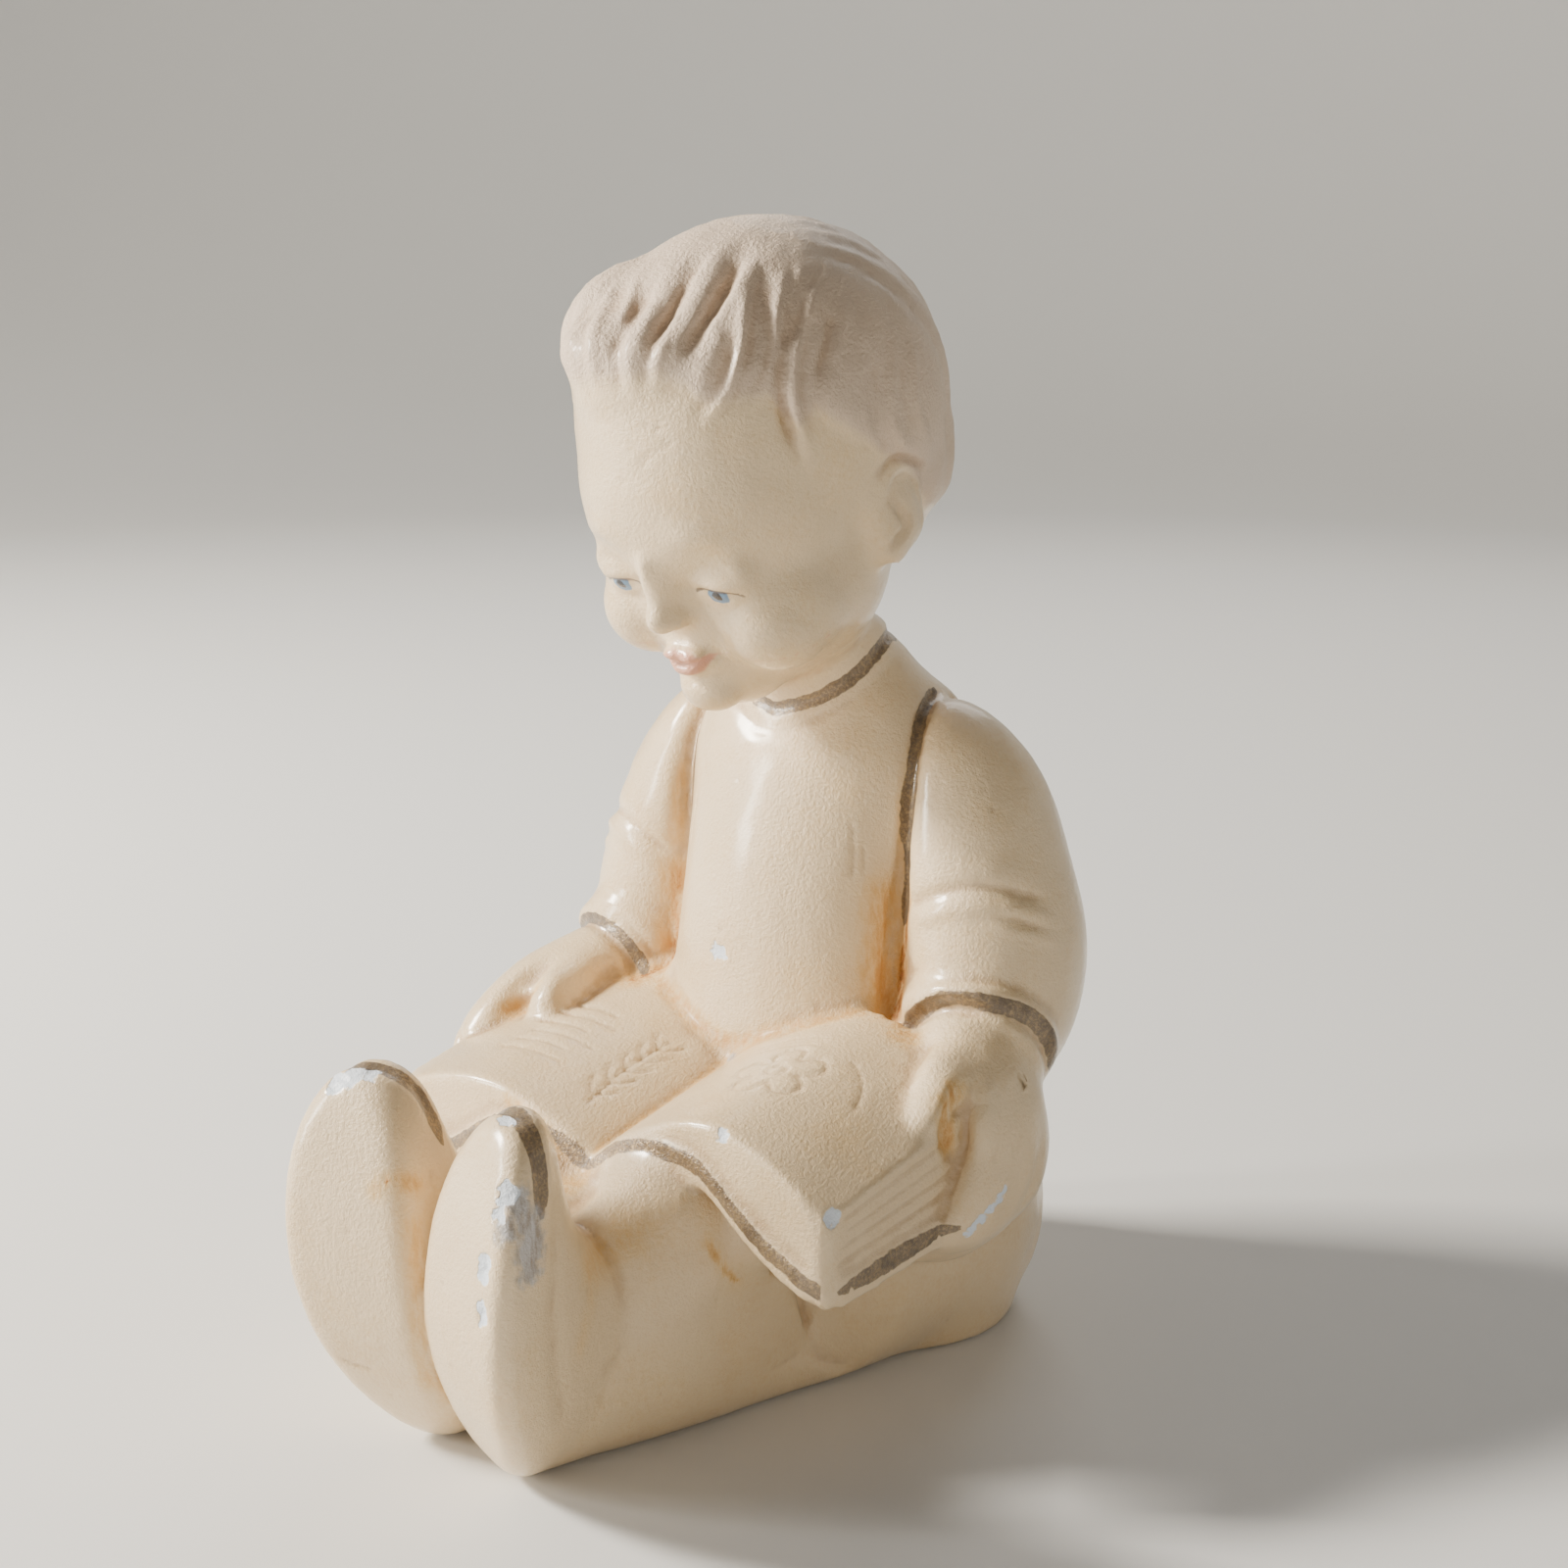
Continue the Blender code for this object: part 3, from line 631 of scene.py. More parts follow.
# %% [markdown]
# ## Hair
#
# The hair is a cap of soft locks combed from the crown over the forehead to the child's right. Three
# sizes of stroke build it, from large to small, as a modeller works: the edge of the cap, the deep
# grooves between locks with a bright ridge beside each, then fine comb lines. Places on the head are
# given by two angles, a turn from the face to the child's left and a height, so that a lock is a
# short list of angles. The comb lines aren't drawn one by one: each lies a share of the way between
# two neighbouring grooves.

# %% Angles on the head
HAIR_REACH = 40


def toward(turn, height):
    """The place on the bowed head that lies at a turn and a height in degrees."""
    turned, lifted = math.radians(turn), math.radians(height)
    flat = math.cos(lifted)
    away = Vector((math.sin(turned) * flat, -math.cos(turned) * flat, math.sin(lifted)))
    outside = on_head(*(away * HAIR_REACH))
    return clay.tree.ray_cast(outside, HEAD_CENTRE - outside)[0]


def head_angles(points):
    """Turn, height and reach of each point, seen from the middle of the head."""
    upright = (points - np.array(HEAD_CENTRE)) @ np.array(BOW)
    turn = np.degrees(np.arctan2(upright[:, 0], -upright[:, 1]))
    height = np.degrees(np.arctan2(upright[:, 2], np.hypot(upright[:, 0], upright[:, 1])))
    return turn, height, np.linalg.norm(upright, axis=1)


HAIRLINE = [
    (-180, -40), (-150, -38), (-115, -26), (-98, 2), (-86, 12), (-72, 24), (-58, 36), (-40, 43),
    (-20, 46), (0, 49), (16, 50), (27, 47), (34, 41), (45, 41), (55, 39), (61, 28), (68, 31),
    (78, 20), (88, 8), (98, -2), (115, -26), (150, -38), (180, -40),
]
HAIR_EDGE = 7.0
HAIR_HEIGHT = 0.25
HAIR_EDGE_PASSES = 45


def over_hairline(points, edge):
    """1 in the hair and 0 on the skin, with a soft edge as wide as edge, in degrees."""
    turn, height, reach = head_angles(points)
    turns, heights = zip(*HAIRLINE)
    over = np.clip((height - np.interp(turn, turns, heights)) / edge + 0.5, 0, 1)
    return over * over * (3 - 2 * over) * ramp(HAIR_REACH - reach, 4)


cap = over_hairline(clay.points, 3 * HAIR_EDGE)
clay.relax(4 * cap * (1 - cap), HAIR_EDGE_PASSES)
clay.lifts += HAIR_HEIGHT * over_hairline(clay.points, HAIR_EDGE)
clay.set()
print("hair cap:", int((over_hairline(clay.points, HAIR_EDGE) > 0.5).sum()), "points")

# %% The grooves between the locks
FAR_SIDE = [
    ([(-128, 50), (-108, 38), (-97, 20)], 1.8, 0.5, 0.3),
    ([(-120, 62), (-88, 46), (-76, 29)], 1.8, 0.7, 0.4),
    ([(-112, 72), (-70, 57), (-54, 40)], 1.8, 0.8, 0.4),
    ([(-98, 78), (-52, 66), (-33, 49)], 1.8, 0.8, 0.4),
]
FRINGE = [
    ([(-60, 68), (-34, 60), (-20, 54), (-15, 46)], 1.5, 0.6, 0.3),
    ([(-95, 75), (-66, 72), (-35, 68), (-9, 58), (-6, 50)], 2.0, 0.85, 0.3),
    ([(-50, 84), (-18, 78), (-12, 70), (-4, 60), (-1, 52), (0, 46)], 1.6, 1.3, 0.5),
    ([(160, 82), (70, 84), (30, 79), (19, 70), (15, 61), (12, 53), (11, 48)], 1.3, 1.1, 0.7),
    ([(118, 76), (81, 75), (53, 69), (37, 62), (27, 53)], 1.6, 1.6, 0.8),
    ([(80, 74), (58, 66), (50, 59), (45, 53), (39, 46), (30, 41)], 1.5, 0.8, 1.1),
    ([(112, 70), (90, 67), (67, 58), (61, 50), (54, 44), (48, 40)], 1.3, 1.0, 0.5),
    ([(80, 58), (67, 51), (61, 46)], 0.9, 0.6, 0.4),
    ([(122, 60), (90, 58), (76, 53), (66, 48), (60, 41), (57, 33), (57, 20)], 1.4, 1.25, 1.0),
    ([(118, 53), (98, 51), (88, 47), (80, 43), (73, 38), (67, 32)], 1.4, 1.2, 0.7),
    ([(122, 44), (105, 38), (92, 27), (87, 18), (89, 9), (100, -6)], 1.8, 0.6, 0.35),
    ([(128, 42), (113, 34), (102, 24), (98, 12), (106, -6)], 1.9, 0.45, 0.3),
]
FOREHEAD_EDGE = [(-75, 26), (-60, 36), (-40, 43), (-20, 45)]
CROWN_TUFT = ([(125, 66), (101, 64), (86, 60)], 1.0, 0.5, 0.6)
BACK_TURNS = range(138, 233, 13)
BACK_GROOVE = [(0, 68), (6, 46), (9, 20), (6, -8), (0, -32)]


def back_groove(turn):
    """A groove down the back of the head, with a slight wave."""
    sway = 1 if turn < 180 else -1
    return [(turn + sway * swing, height - turn % 3 * 6) for swing, height in BACK_GROOVE]


def on_skin(angles):
    """Places on the head from pairs of a turn and a height."""
    return [toward(*pair) for pair in angles]


def part_hair(angles, half_width, depth, ridge):
    """A wide valley, a deep cut in its lower half and a raised ridge on its near side."""
    path = on_skin(angles)
    clay.press(path, 2.4 * half_width, 0.3 * depth, ends=2.5)
    clay.press(path[len(path) // 3:], 0.85 * half_width, 0.6 * depth, sharp=1.2, ends=3.5)
    clay.press(path[1:], 1.3, -ridge, aside=-half_width - 0.3, ends=3)


BEHIND = [(back_groove(turn), 2.2, 0.55, 0.15) for turn in BACK_TURNS]
for groove in FAR_SIDE + FRINGE + [CROWN_TUFT] + BEHIND:
    part_hair(*groove)
clay.press(on_skin(FOREHEAD_EDGE), 4.5, 0.9)
clay.set()
print(len(FAR_SIDE + FRINGE), "grooves in front and", len(BEHIND), "behind")

# %% Comb lines between the grooves
COMB_SHARES = [0.25, 0.5, 0.75]
COMB_STEPS = 6
COMB_DEPTH = 0.14
comb_random = np.random.default_rng(5)


def even_steps(angles):
    """A groove's curve as a few evenly spaced places."""
    line = smooth_path(on_skin(angles), 4)
    own = np.linspace(0, 1, len(line))
    steps = np.linspace(0, 1, COMB_STEPS)
    return np.column_stack([np.interp(steps, own, line[:, k]) for k in range(3)])


def comb(grooves, depth):
    """Fine lines between each groove and the next."""
    lines = [even_steps(angles) for angles, *_ in grooves]
    for first, second in zip(lines, lines[1:]):
        for share in COMB_SHARES:
            share += comb_random.uniform(-0.08, 0.08)
            path = first * (1 - share) + second * share
            start = comb_random.integers(0, 3)
            strength = depth * comb_random.uniform(0.3, 1.2)
            clay.press(path[start:], comb_random.uniform(0.7, 1.2), strength, ends=3)


comb(FAR_SIDE + FRINGE, COMB_DEPTH)
comb(BEHIND, COMB_DEPTH)
clay.set()
print("comb lines:", len(COMB_SHARES) * (len(FAR_SIDE + FRINGE) + len(BEHIND) - 2))

# %% [markdown]
# ## Face and ears
#
# The eggs are already joined, but they still look like eggs. First the skin is relaxed where only
# soft forms belong, and then the few sharp things are drawn with a narrow brush: the edge of each
# upper lid, the crease over it, the line between the lips, the nostrils and the hollow of the ear.
# The lids are low, because the child looks down at the page.

# %% Soften the face
FACE_MIDDLE = on_head(0, -22, -10)
FACE_REACH = 17.0


def face_share(points):
    """1 in the face, fading to 0 at its rim."""
    return ramp(FACE_REACH - away_from(points, FACE_MIDDLE), 4)


def near_spot(points, spot, radius):
    """1 around a spot, fading to 0 at the radius."""
    return ramp(radius - away_from(points, spot), 0.4 * radius)


clay.relax(face_share(clay.points), 7)
for side in (-1, 1):
    clay.relax(near_spot(clay.points, on_head(side * 22, 0, -7), 11), 24)
print("softened", int((face_share(clay.points) > 0).sum()), "points of the face")

# %% Lids, nostrils, lips and ears
UPPER_LID = [(4.6, -6.0), (6.3, -5.5), (8.4, -5.4), (10.4, -5.8), (12.0, -6.7)]
LOWER_LID = [(4.8, -6.2), (6.6, -7.6), (8.6, -8.1), (10.6, -7.7), (11.9, -6.8)]
LID_CREASE = [(5.0, -4.0), (6.6, -2.9), (9.0, -2.4), (11.2, -3.2), (12.4, -4.8)]
LIP_LINE = [(-3.9, -16.1), (-2.2, -16.4), (0, -16.8), (2.2, -16.4), (3.9, -16.1)]
INTO_FACE = tuple(BOW @ Vector((0, 1, 0)))


def draw_face(pairs, half_width, depth, side=1):
    """A stroke across the face, given across and up as seen from straight in front."""
    path = [on_head(side * x, -40, z) for x, z in pairs]
    clay.press(path, half_width, depth, aim=INTO_FACE)


def raised(pairs, up):
    """The same stroke a little higher."""
    return [(x, z + up) for x, z in pairs]


for side in (-1, 1):
    draw_face(raised(UPPER_LID, -0.40), 0.7, 0.34, side)
    draw_face(raised(UPPER_LID, 0.6), 0.9, -0.16, side)
    draw_face(LOWER_LID, 0.8, -0.12, side)
    draw_face(raised(LOWER_LID, -1.1), 1.2, 0.12, side)
    draw_face(LID_CREASE, 1.2, 0.22, side)
    draw_face([(3.4, 2.2), (7.5, 3.0), (11.5, 1.8)], 2.8, -0.25, side)
    draw_face([(2.3, -9.0), (3.1, -10.0), (2.9, -11.4)], 0.9, 0.22, side)
    clay.dab(on_head(side * 4.0, -22.6, -5.4), 2.0, 0.40)
    clay.dab(on_head(side * 1.1, -25.4, -11.2), 0.9, 0.45)
    clay.dab(on_head(side * 4.7, -22.2, -16.2), 1.5, 0.30)
    clay.dab(on_head(side * 11.0, -21.6, -12.5), 8.0, -0.4)
draw_face(LIP_LINE, 0.7, 0.5)
draw_face([(0, -12.2), (0, -14.2)], 0.9, 0.2)
draw_face([(-2.6, -19.5), (0, -19.8), (2.6, -19.5)], 1.6, 0.35)
clay.set()

EAR_RIM = [
    (22.6, -3.0, -2.8), (22.6, -1.0, -0.9), (22.4, 1.5, -0.3), (22, 4.0, -1.6), (21.5, 5.6, -4.6),
    (21, 5.2, -8.2), (21, 2.8, -11.3),
]
EAR_ARCH = [(22.3, -1.8, 0.9), (22.3, 1.2, 1.6), (21.5, 4.2, 0.6), (21, 6.6, -2.0)]
EAR_HOLLOW = [(23, -1.4, -3.6), (23.2, -0.4, -5.6), (23.2, 0.4, -8.0), (23, -2.0, -8.9), (22.6, -3.5, -9.6)]


def beside_head(places, side):
    """Places of one ear, given for the child's left one, on the bowed head."""
    return [on_head(side * x, y, z) for x, y, z in places]


for side in (-1, 1):
    clay.press(beside_head(EAR_RIM, side), 1.3, -0.4)
    clay.press(beside_head(EAR_ARCH, side), 1.1, 0.45)
    clay.press(beside_head(EAR_HOLLOW, side), 1.3, 0.75)
clay.set()
print("face drawn")

# %% [markdown]
# ## Clothes, feet and hands
#
# The child wears a sleeper suit with a round collar, long sleeves that end in a cuff, and feet with
# flat soles. Every trim line that is painted later lies in a groove or on a step of the casting, so
# the path of each is written once here and used twice, first by the brush and later by the paint.

# %% Paths of the trim lines
COLLAR_HALF = [
    (0, -4.5, 88.1), (5.5, -3.9, 89.7), (8.9, -2.9, 91.5), (11.3, -1.1, 93.5), (12.4, 1.2, 95.7),
    (12.3, 4.3, 97.6), (11.2, 8.5, 98.9), (7.5, 12.8, 99.4), (0, 15, 99.5),
]
COLLAR = COLLAR_HALF + mirrored(COLLAR_HALF)[-2::-1]
SLEEVE_SEAM = [
    (15.6, 11.2, 90.7), (17.7, 5.9, 88.6), (18.9, 2.9, 85.8), (19.7, 0.7, 81.6), (20.0, -0.9, 75.8),
    (19.8, -1.8, 69.1), (19.4, -2.4, 60.7), (19.8, -3.8, 52.8), (21.5, -6.5, 47.5),
]
BACK_SEAM = [(15.5, 14.5, 90.3), (18, 18, 85), (19, 21, 76), (19.5, 22, 66), (20.5, 20, 56)]
LEFT_CUFF = [
    (22.9, -6.2, 44.6), (23.5, -5.3, 47.2), (26.4, -5.2, 51.0), (30.2, -5.8, 53.6), (34.4, -5.2, 54.2),
    (39.2, -1.0, 52.6), (41.3, 2.9, 48.3), (42, 6, 41.5),
]
RIGHT_CUFF = [
    (-21.6, -8.0, 46.2), (-24.7, -6.2, 47.9), (-27.4, -6.3, 50.6), (-31.0, -6.4, 52.2),
    (-35.6, -5.0, 52.2), (-39.1, -2.6, 49.8), (-41.6, 1.6, 45.0), (-42, 6, 40),
]
LEFT_STRIPE = [
    (2.0, -66.5, 44), (3.4, -66.2, 47.5), (7, -66.2, 50.3), (12.5, -66.4, 51.2), (16.3, -67.7, 50.0),
    (18.5, -68.1, 47.9), (19.5, -68.4, 45.9), (20.1, -69.0, 43.0), (20.4, -69.5, 40.5),
]
RIGHT_STRIPE = [
    (-20.2, -67, 42), (-19, -67.5, 46.5), (-16.2, -67.7, 49.8), (-11.1, -66.4, 50.8), (-8.9, -65.1, 49.6),
    (-7.2, -63.8, 47.8), (-5.3, -63.1, 45.0), (-4.0, -63.0, 41.5),
]
print("trim lines:", len(COLLAR), "points round the collar,", len(LEFT_CUFF), "on a cuff")

# %% Seams, cuffs and folds
NECK_PASSES = 16


def soften_neck():
    """Smooths the neck just above the collar."""
    above_collar = [(x, y, z + 3.5) for x, y, z in COLLAR]
    away, _, _ = distance_along(clay.points, clay.laid(above_collar))
    clay.relax(ramp(4.5 - away, 2), NECK_PASSES)


soften_neck()
clay.press(COLLAR, 1.4, 0.4)
for path in (SLEEVE_SEAM, mirrored(SLEEVE_SEAM), BACK_SEAM, mirrored(BACK_SEAM)):
    clay.press(path, 1.5, 0.75)
    clay.press(path, 4.5, 0.35)
for path, hand in ((LEFT_CUFF, 1), (RIGHT_CUFF, -1)):
    clay.press(path, 1.6, -0.6, aside=hand * -0.9, ends=2.5)
    clay.press(path, 1.5, 0.7, aside=hand * 1.7, ends=2.0)
for path in (LEFT_STRIPE, RIGHT_STRIPE):
    clay.press(path, 2.0, 0.35)
ELBOW_FOLDS = [
    ([(21.5, -2.4, 63.5), (27.5, -3.8, 66.7), (32, -2.5, 68.2), (36, 0.7, 67.8), (39, 5, 66)], 1.3, 0.35),
    ([(23, -2.8, 61.5), (28, -3.8, 64.2), (33, -2.5, 65.6), (38, 2, 65)], 1.6, -0.25),
    ([(27, -2, 72), (33, -1, 73.5), (38, 3, 73)], 3.0, 0.25),
    ([(22, -3, 57), (29, -4.5, 58.5), (36, -3, 58)], 4.0, -0.3),
    ([(35, -0.5, 65.8), (38.5, 2.5, 64.8), (41, 6, 63.2)], 1.5, -0.35),
    ([(34.5, -1.5, 63.2), (38.5, 1.5, 62.0), (41.5, 5.5, 60.4)], 1.3, -0.28),
    ([(37.0, 0.5, 64.0), (40.0, 3.5, 62.6)], 0.7, 0.22),
    ([(15.9, -7.8, 75), (16.3, -7.4, 71), (16.1, -7.6, 67)], 0.6, 0.16),
    ([(17.1, -6.2, 72), (17.3, -6.0, 67.5)], 0.55, 0.14),
]
for path, half_width, depth in ELBOW_FOLDS:
    clay.press(path, half_width, depth)
    clay.press(mirrored(path), half_width, depth)
clay.set()
print("seams, cuffs and folds pressed")

# %% Hands
LEFT_FINGER_LINES = [
    ([(39.3, -14.5, 45.5), (40.1, -17.0, 42.5), (39.5, -16.9, 39.0), (39.6, -15.2, 35.6)], 2.0, 1.2),
    (
        [(39.8, -10, 46.8), (41.2, -11.3, 43.7), (41.8, -12.6, 40.3), (41.5, -13.3, 36.3), (42, -14.8, 33)],
        2.4, -1.0,
    ),
    ([(34.8, -9, 49.5), (34.6, -13, 47.6), (34.4, -17.5, 45.4)], 4.0, -1.0),
    ([(44.6, -7, 40), (44.2, -9.5, 33), (42.8, -12, 27)], 1.6, 0.14),
    ([(44.8, -2.5, 38), (44.6, -4, 32), (43.4, -7, 27)], 1.6, 0.14),
]
RIGHT_FINGER_LINES = [
    ([(-31.4, -20.4, 46.2), (-33.4, -21.6, 44.0), (-35.4, -23.4, 41.4)], 2.1, 0.9),
    ([(-30.0, -17.5, 47.6), (-28.4, -20.5, 46.4), (-27.4, -23.0, 44.0)], 2.6, -0.7),
    ([(-43.0, -14, 40), (-44, -17, 35), (-43.4, -18.5, 31)], 1.4, 0.25),
    ([(-42.5, -9, 40), (-44, -11.5, 35), (-43.6, -14, 31)], 1.4, 0.25),
]
THUMBS = [((36.0, -20.0, 43.0), 6.5, 22), ((-28.0, -23.5, 44.0), 6.0, 18)]
for spot, radius, passes in THUMBS:
    clay.relax(near_spot(clay.points, spot, radius), passes)
for path, half_width, depth in LEFT_FINGER_LINES + RIGHT_FINGER_LINES:
    clay.press(path, half_width, depth)
clay.set()
print("finger lines:", len(LEFT_FINGER_LINES + RIGHT_FINGER_LINES))

# %% [markdown]
# ## What is scratched into the pages
#
# The pages carry shallow sketches, cut with a point while the clay was soft. These are plain ones
# of this lesson's own: a flower, a leafy twig, an arc and rows of short strokes for lines of text.
# Each is drawn flat, in millimetres across and in from the page's free edge, and lands on the curved
# page by the page's own height.

# %% Sketches on the pages
def on_page(pairs):
    """Places on the page from places across the book and in from its free edge."""
    return [(x, BOOK_LINE_Y + depth, float(page_height(x, depth))) for x, depth in pairs]


def scratch(pairs, depth, half_width):
    """One line cut into the page."""
    clay.press(on_page(pairs), half_width, depth, ends=0.5)


def loop_of_petals(middle, petals, inner, outer):
    """The outline of a flower with round petals."""
    path = []
    for step in range(petals * 6 + 1):
        turn = math.tau * step / (petals * 6)
        reach = inner + (outer - inner) * abs(math.sin(turn * petals / 2)) ** 0.6
        path.append((middle[0] + reach * math.cos(turn), middle[1] + reach * math.sin(turn)))
    return path


FLOWER = (18.5, 15.5)
ARC = [(25.0, 22.5), (28.0, 21.0), (30.0, 18.5), (31.2, 15.5)]
STEM = [(-6.5, 5.5), (-7.5, 11), (-8.0, 17), (-7.4, 23)]
STEM_MIDDLE = -7.6
LEAVES = 5
TEXT_ROWS = 6
scratch(loop_of_petals(FLOWER, 5, 3.0, 6.4), 0.30, 0.6)
scratch(loop_of_petals(FLOWER, 1, 1.4, 1.4), 0.26, 0.55)
scratch(ARC, 0.2, 0.6)
for row in range(3):
    scratch([(8 + row, 24 - row), (13 + row, 25.0 - row), (19 + row, 25.4 - row)], 0.12, 0.5)
scratch(STEM, 0.26, 0.5)
for k in range(LEAVES):
    depth = 7.5 + 3.2 * k
    for side in (-1, 1):
        tip = [(STEM_MIDDLE + side * 1.8, depth + 1.6), (STEM_MIDDLE + side * 2.4, depth + 3.4)]
        scratch([(STEM_MIDDLE, depth), *tip], 0.24, 0.5)
for row in range(TEXT_ROWS):
    depth = 9.0 + 2.6 * row
    left = -27.5 + 0.6 * (row % 3)
    scratch([(left, depth), (left + 6.5, depth + 0.25), (left + 12.5 - 2.2 * (row % 2), depth)], 0.30, 0.6)
clay.set()
print("sketches cut")

# %% Edges of the pages
EDGE_PASSES = 12
CORNER_PASSES = 45
REAR_PASSES = 160
OUT_OF_REACH = 9
RIBS = 4
RIB_STEPS = 5.3


def round_book():
    """Rounds the top front edge of the pages, their outer corners and the cover's lower edge."""
    x, y, z = clay.points.T
    depth = y - BOOK_LINE_Y
    front = np.hypot(depth, z - page_height(x, depth))
    lip = np.hypot(depth + COVER_LIP, z - cover_height(x, 0 * x) + COVER_THICKNESS)
    corner = np.hypot(depth, abs(x) - BOOK_HALF_WIDTH) * 0.8
    corner = np.where(z < page_height(x, depth) + 1, corner, OUT_OF_REACH)
    side_lip = np.hypot(abs(x) - BOOK_HALF_WIDTH - COVER_LIP, z - cover_height(x, depth) + COVER_THICKNESS)
    side_lip = np.where((depth > -1) & (depth < BOOK_DEPTH - 10), side_lip, OUT_OF_REACH)
    edge = np.minimum.reduce([front, lip, corner, side_lip])
    clay.relax(ramp(2.6 - edge, 1.2) * (abs(x) < BOOK_HALF_WIDTH + 2), EDGE_PASSES)
    clay.relax(ramp(3.2 - corner, 1.6), CORNER_PASSES)
    rear = np.hypot(depth - BOOK_DEPTH, abs(x) - BOOK_HALF_WIDTH)
    clay.relax(ramp(6.5 - rear, 3) * (z < page_height(x, depth) + 2), REAR_PASSES)


def rib_pages(x):
    """Even shallow lines along one outer side of the block, like the edges of thick leaves."""
    for rib in range(1, RIBS + 1):
        path = []
        for step in range(6):
            depth = 1.5 + step * (BOOK_DEPTH - 8) / 5
            top, low = float(page_height(x, depth)), float(cover_height(x, depth))
            path.append((x, BOOK_LINE_Y + depth, top + (low - top) * rib / RIB_STEPS))
        clay.press(path, 1.15, 0.26 + 0.06 * (rib % 2), ends=1.5)


round_book()
rib_pages(-BOOK_HALF_WIDTH)
rib_pages(BOOK_HALF_WIDTH)
clay.set()
print("page edges ribbed")

# %% [markdown]
# ## Wear
#
# A shelf piece that is knocked now and then loses paint and a little plaster where it stands out:
# on the toes, along the edge of a foot, at a corner of the book. Each chip is a flat-bottomed dab,
# and its place is kept for the paint. Smaller accidents are pits left by air in the casting and
# scratches in the varnish. Last comes an uneven skin of small bumps, which every cast piece
# has, made with noise on the points themselves.

# %% Chips, pits and scratches
CHIPS = [
    ((-3.0, -12.3, 54.5), 1.1, 0.12),
    ((-4.3, -12.3, 54.6), 1.1, 0.12),
    ((-11.6, -68.0, 50.2), 1.2, 0.2),
    ((-13.4, -69.4, 49.8), 1.6, 0.2),
    ((-15.2, -70.5, 48.9), 1.7, 0.3),
    ((13.2, -68.4, 50.5), 0.9, 0.2),
    ((14.2, -68.6, 50.2), 0.8, 0.2),
    ((18.2, -73.0, 43.9), 1.5, 0.3),
    ((17.9, -74.2, 41.6), 1.1, 0.3),
    ((16.8, -75.4, 35.6), 1.3, 0.35),
    ((16.7, -75.7, 34.3), 1.2, 0.3),
    ((16.7, -76.1, 30.0), 1.1, 0.25),
    ((16.7, -76.1, 28.9), 1.2, 0.3),
    ((22.5, -41.0, 42.8), 1.1, 0.2),
    ((39.3, -39.3, 35.7), 1.4, 0.3),
    ((41.6, -15.9, 26.8), 0.5, 0.1),
    ((42.6, -15.0, 27.9), 0.6, 0.1),
    ((43.4, -14.2, 28.9), 0.65, 0.1),
    ((43.9, -13.2, 29.8), 0.65, 0.1),
    ((44.4, -12.0, 30.8), 0.6, 0.1),
    ((44.7, -10.8, 31.9), 0.5, 0.1),
]
BRUISES = [
    ((19.6, -72.6, 43.0), 2.0),
    ((19.0, -74.0, 40.2), 1.8),
    ((20.4, -71.6, 40.2), 2.2),
    ((20.7, -71.6, 37.2), 2.4),
    ((20.8, -71.9, 34.6), 1.8),
    ((1.4, -15.0, 40.8), 0.45),
]
BRUISE_DEPTH = 0.12
LEVEL_FLOOR = 0.6
BROW_SCRATCH = [(5, 26), (10, 30), (20, 33)]
SOLE_SCRATCH = [(-14.0, -72.8, 12.9), (-11.9, -72.1, 12.3), (-9.0, -71.3, 12.1)]
SLEEVE_SCRATCH = [(34, -2.5, 83), (36, -1, 85)]
PITS = 150
PIT_RADIUS = (0.5, 0.95)
PIT_DEPTH = (0.06, 0.2)
pit_random = np.random.default_rng(11)


def on_clay(spot):
    """The nearest place on the skin."""
    return tuple(clay.tree.find_nearest(spot)[0])


CHIPS = [(on_clay(spot), radius, depth) for spot, radius, depth in CHIPS]
BRUISES = [(on_clay(spot), radius, BRUISE_DEPTH) for spot, radius in BRUISES]
for knock in CHIPS + BRUISES:
    clay.dab(*knock, flat=LEVEL_FLOOR)
clay.press(on_skin(BROW_SCRATCH), 0.6, 0.14)
clay.press(SOLE_SCRATCH, 0.5, 0.3)
for angles in ((10, 38), (14, 37), (-2, 22)):
    clay.dab(toward(*angles), 0.9, 0.2)
clay.press(SLEEVE_SCRATCH, 0.5, 0.15)
for k in pit_random.integers(0, len(clay.points), PITS):
    clay.dab(clay.points[k], pit_random.uniform(*PIT_RADIUS), pit_random.uniform(*PIT_DEPTH))
clay.set()
print(len(CHIPS), "chips and", PITS, "pits")

# %% An uneven skin
PEBBLE_SIZE = 1.5
PEBBLE_HEIGHT = 0.035
WAVE_SIZE = 7.0
WAVE_HEIGHT = 0.07


def uneven(points):
    """Small bumps over slow waves, rougher on the hair and flat on the floor."""
    rough = 1.0 + 1.6 * over_hairline(points, 6.0)
    height = np.empty(len(points))
    for k, point in enumerate(points):
        spot = Vector(point)
        pebbles = noise.noise(spot / PEBBLE_SIZE)
        waves = noise.noise(spot / WAVE_SIZE)
        height[k] = PEBBLE_HEIGHT * pebbles * rough[k] + WAVE_HEIGHT * waves
    return height * ramp(points[:, 2], 2) * (1 - 0.7 * face_share(points))


clay.lifts += uneven(clay.points)
clay.set()
print("bumps up to", round(float(PEBBLE_HEIGHT + WAVE_HEIGHT), 3), "mm")

# %% Thin the skin to what the shelf can carry
MOST_TRIANGLES = 194_000
clay.points = np.clip(clay.points, *(np.array(corner) / MM for corner in cad_box))
clay.look_again()


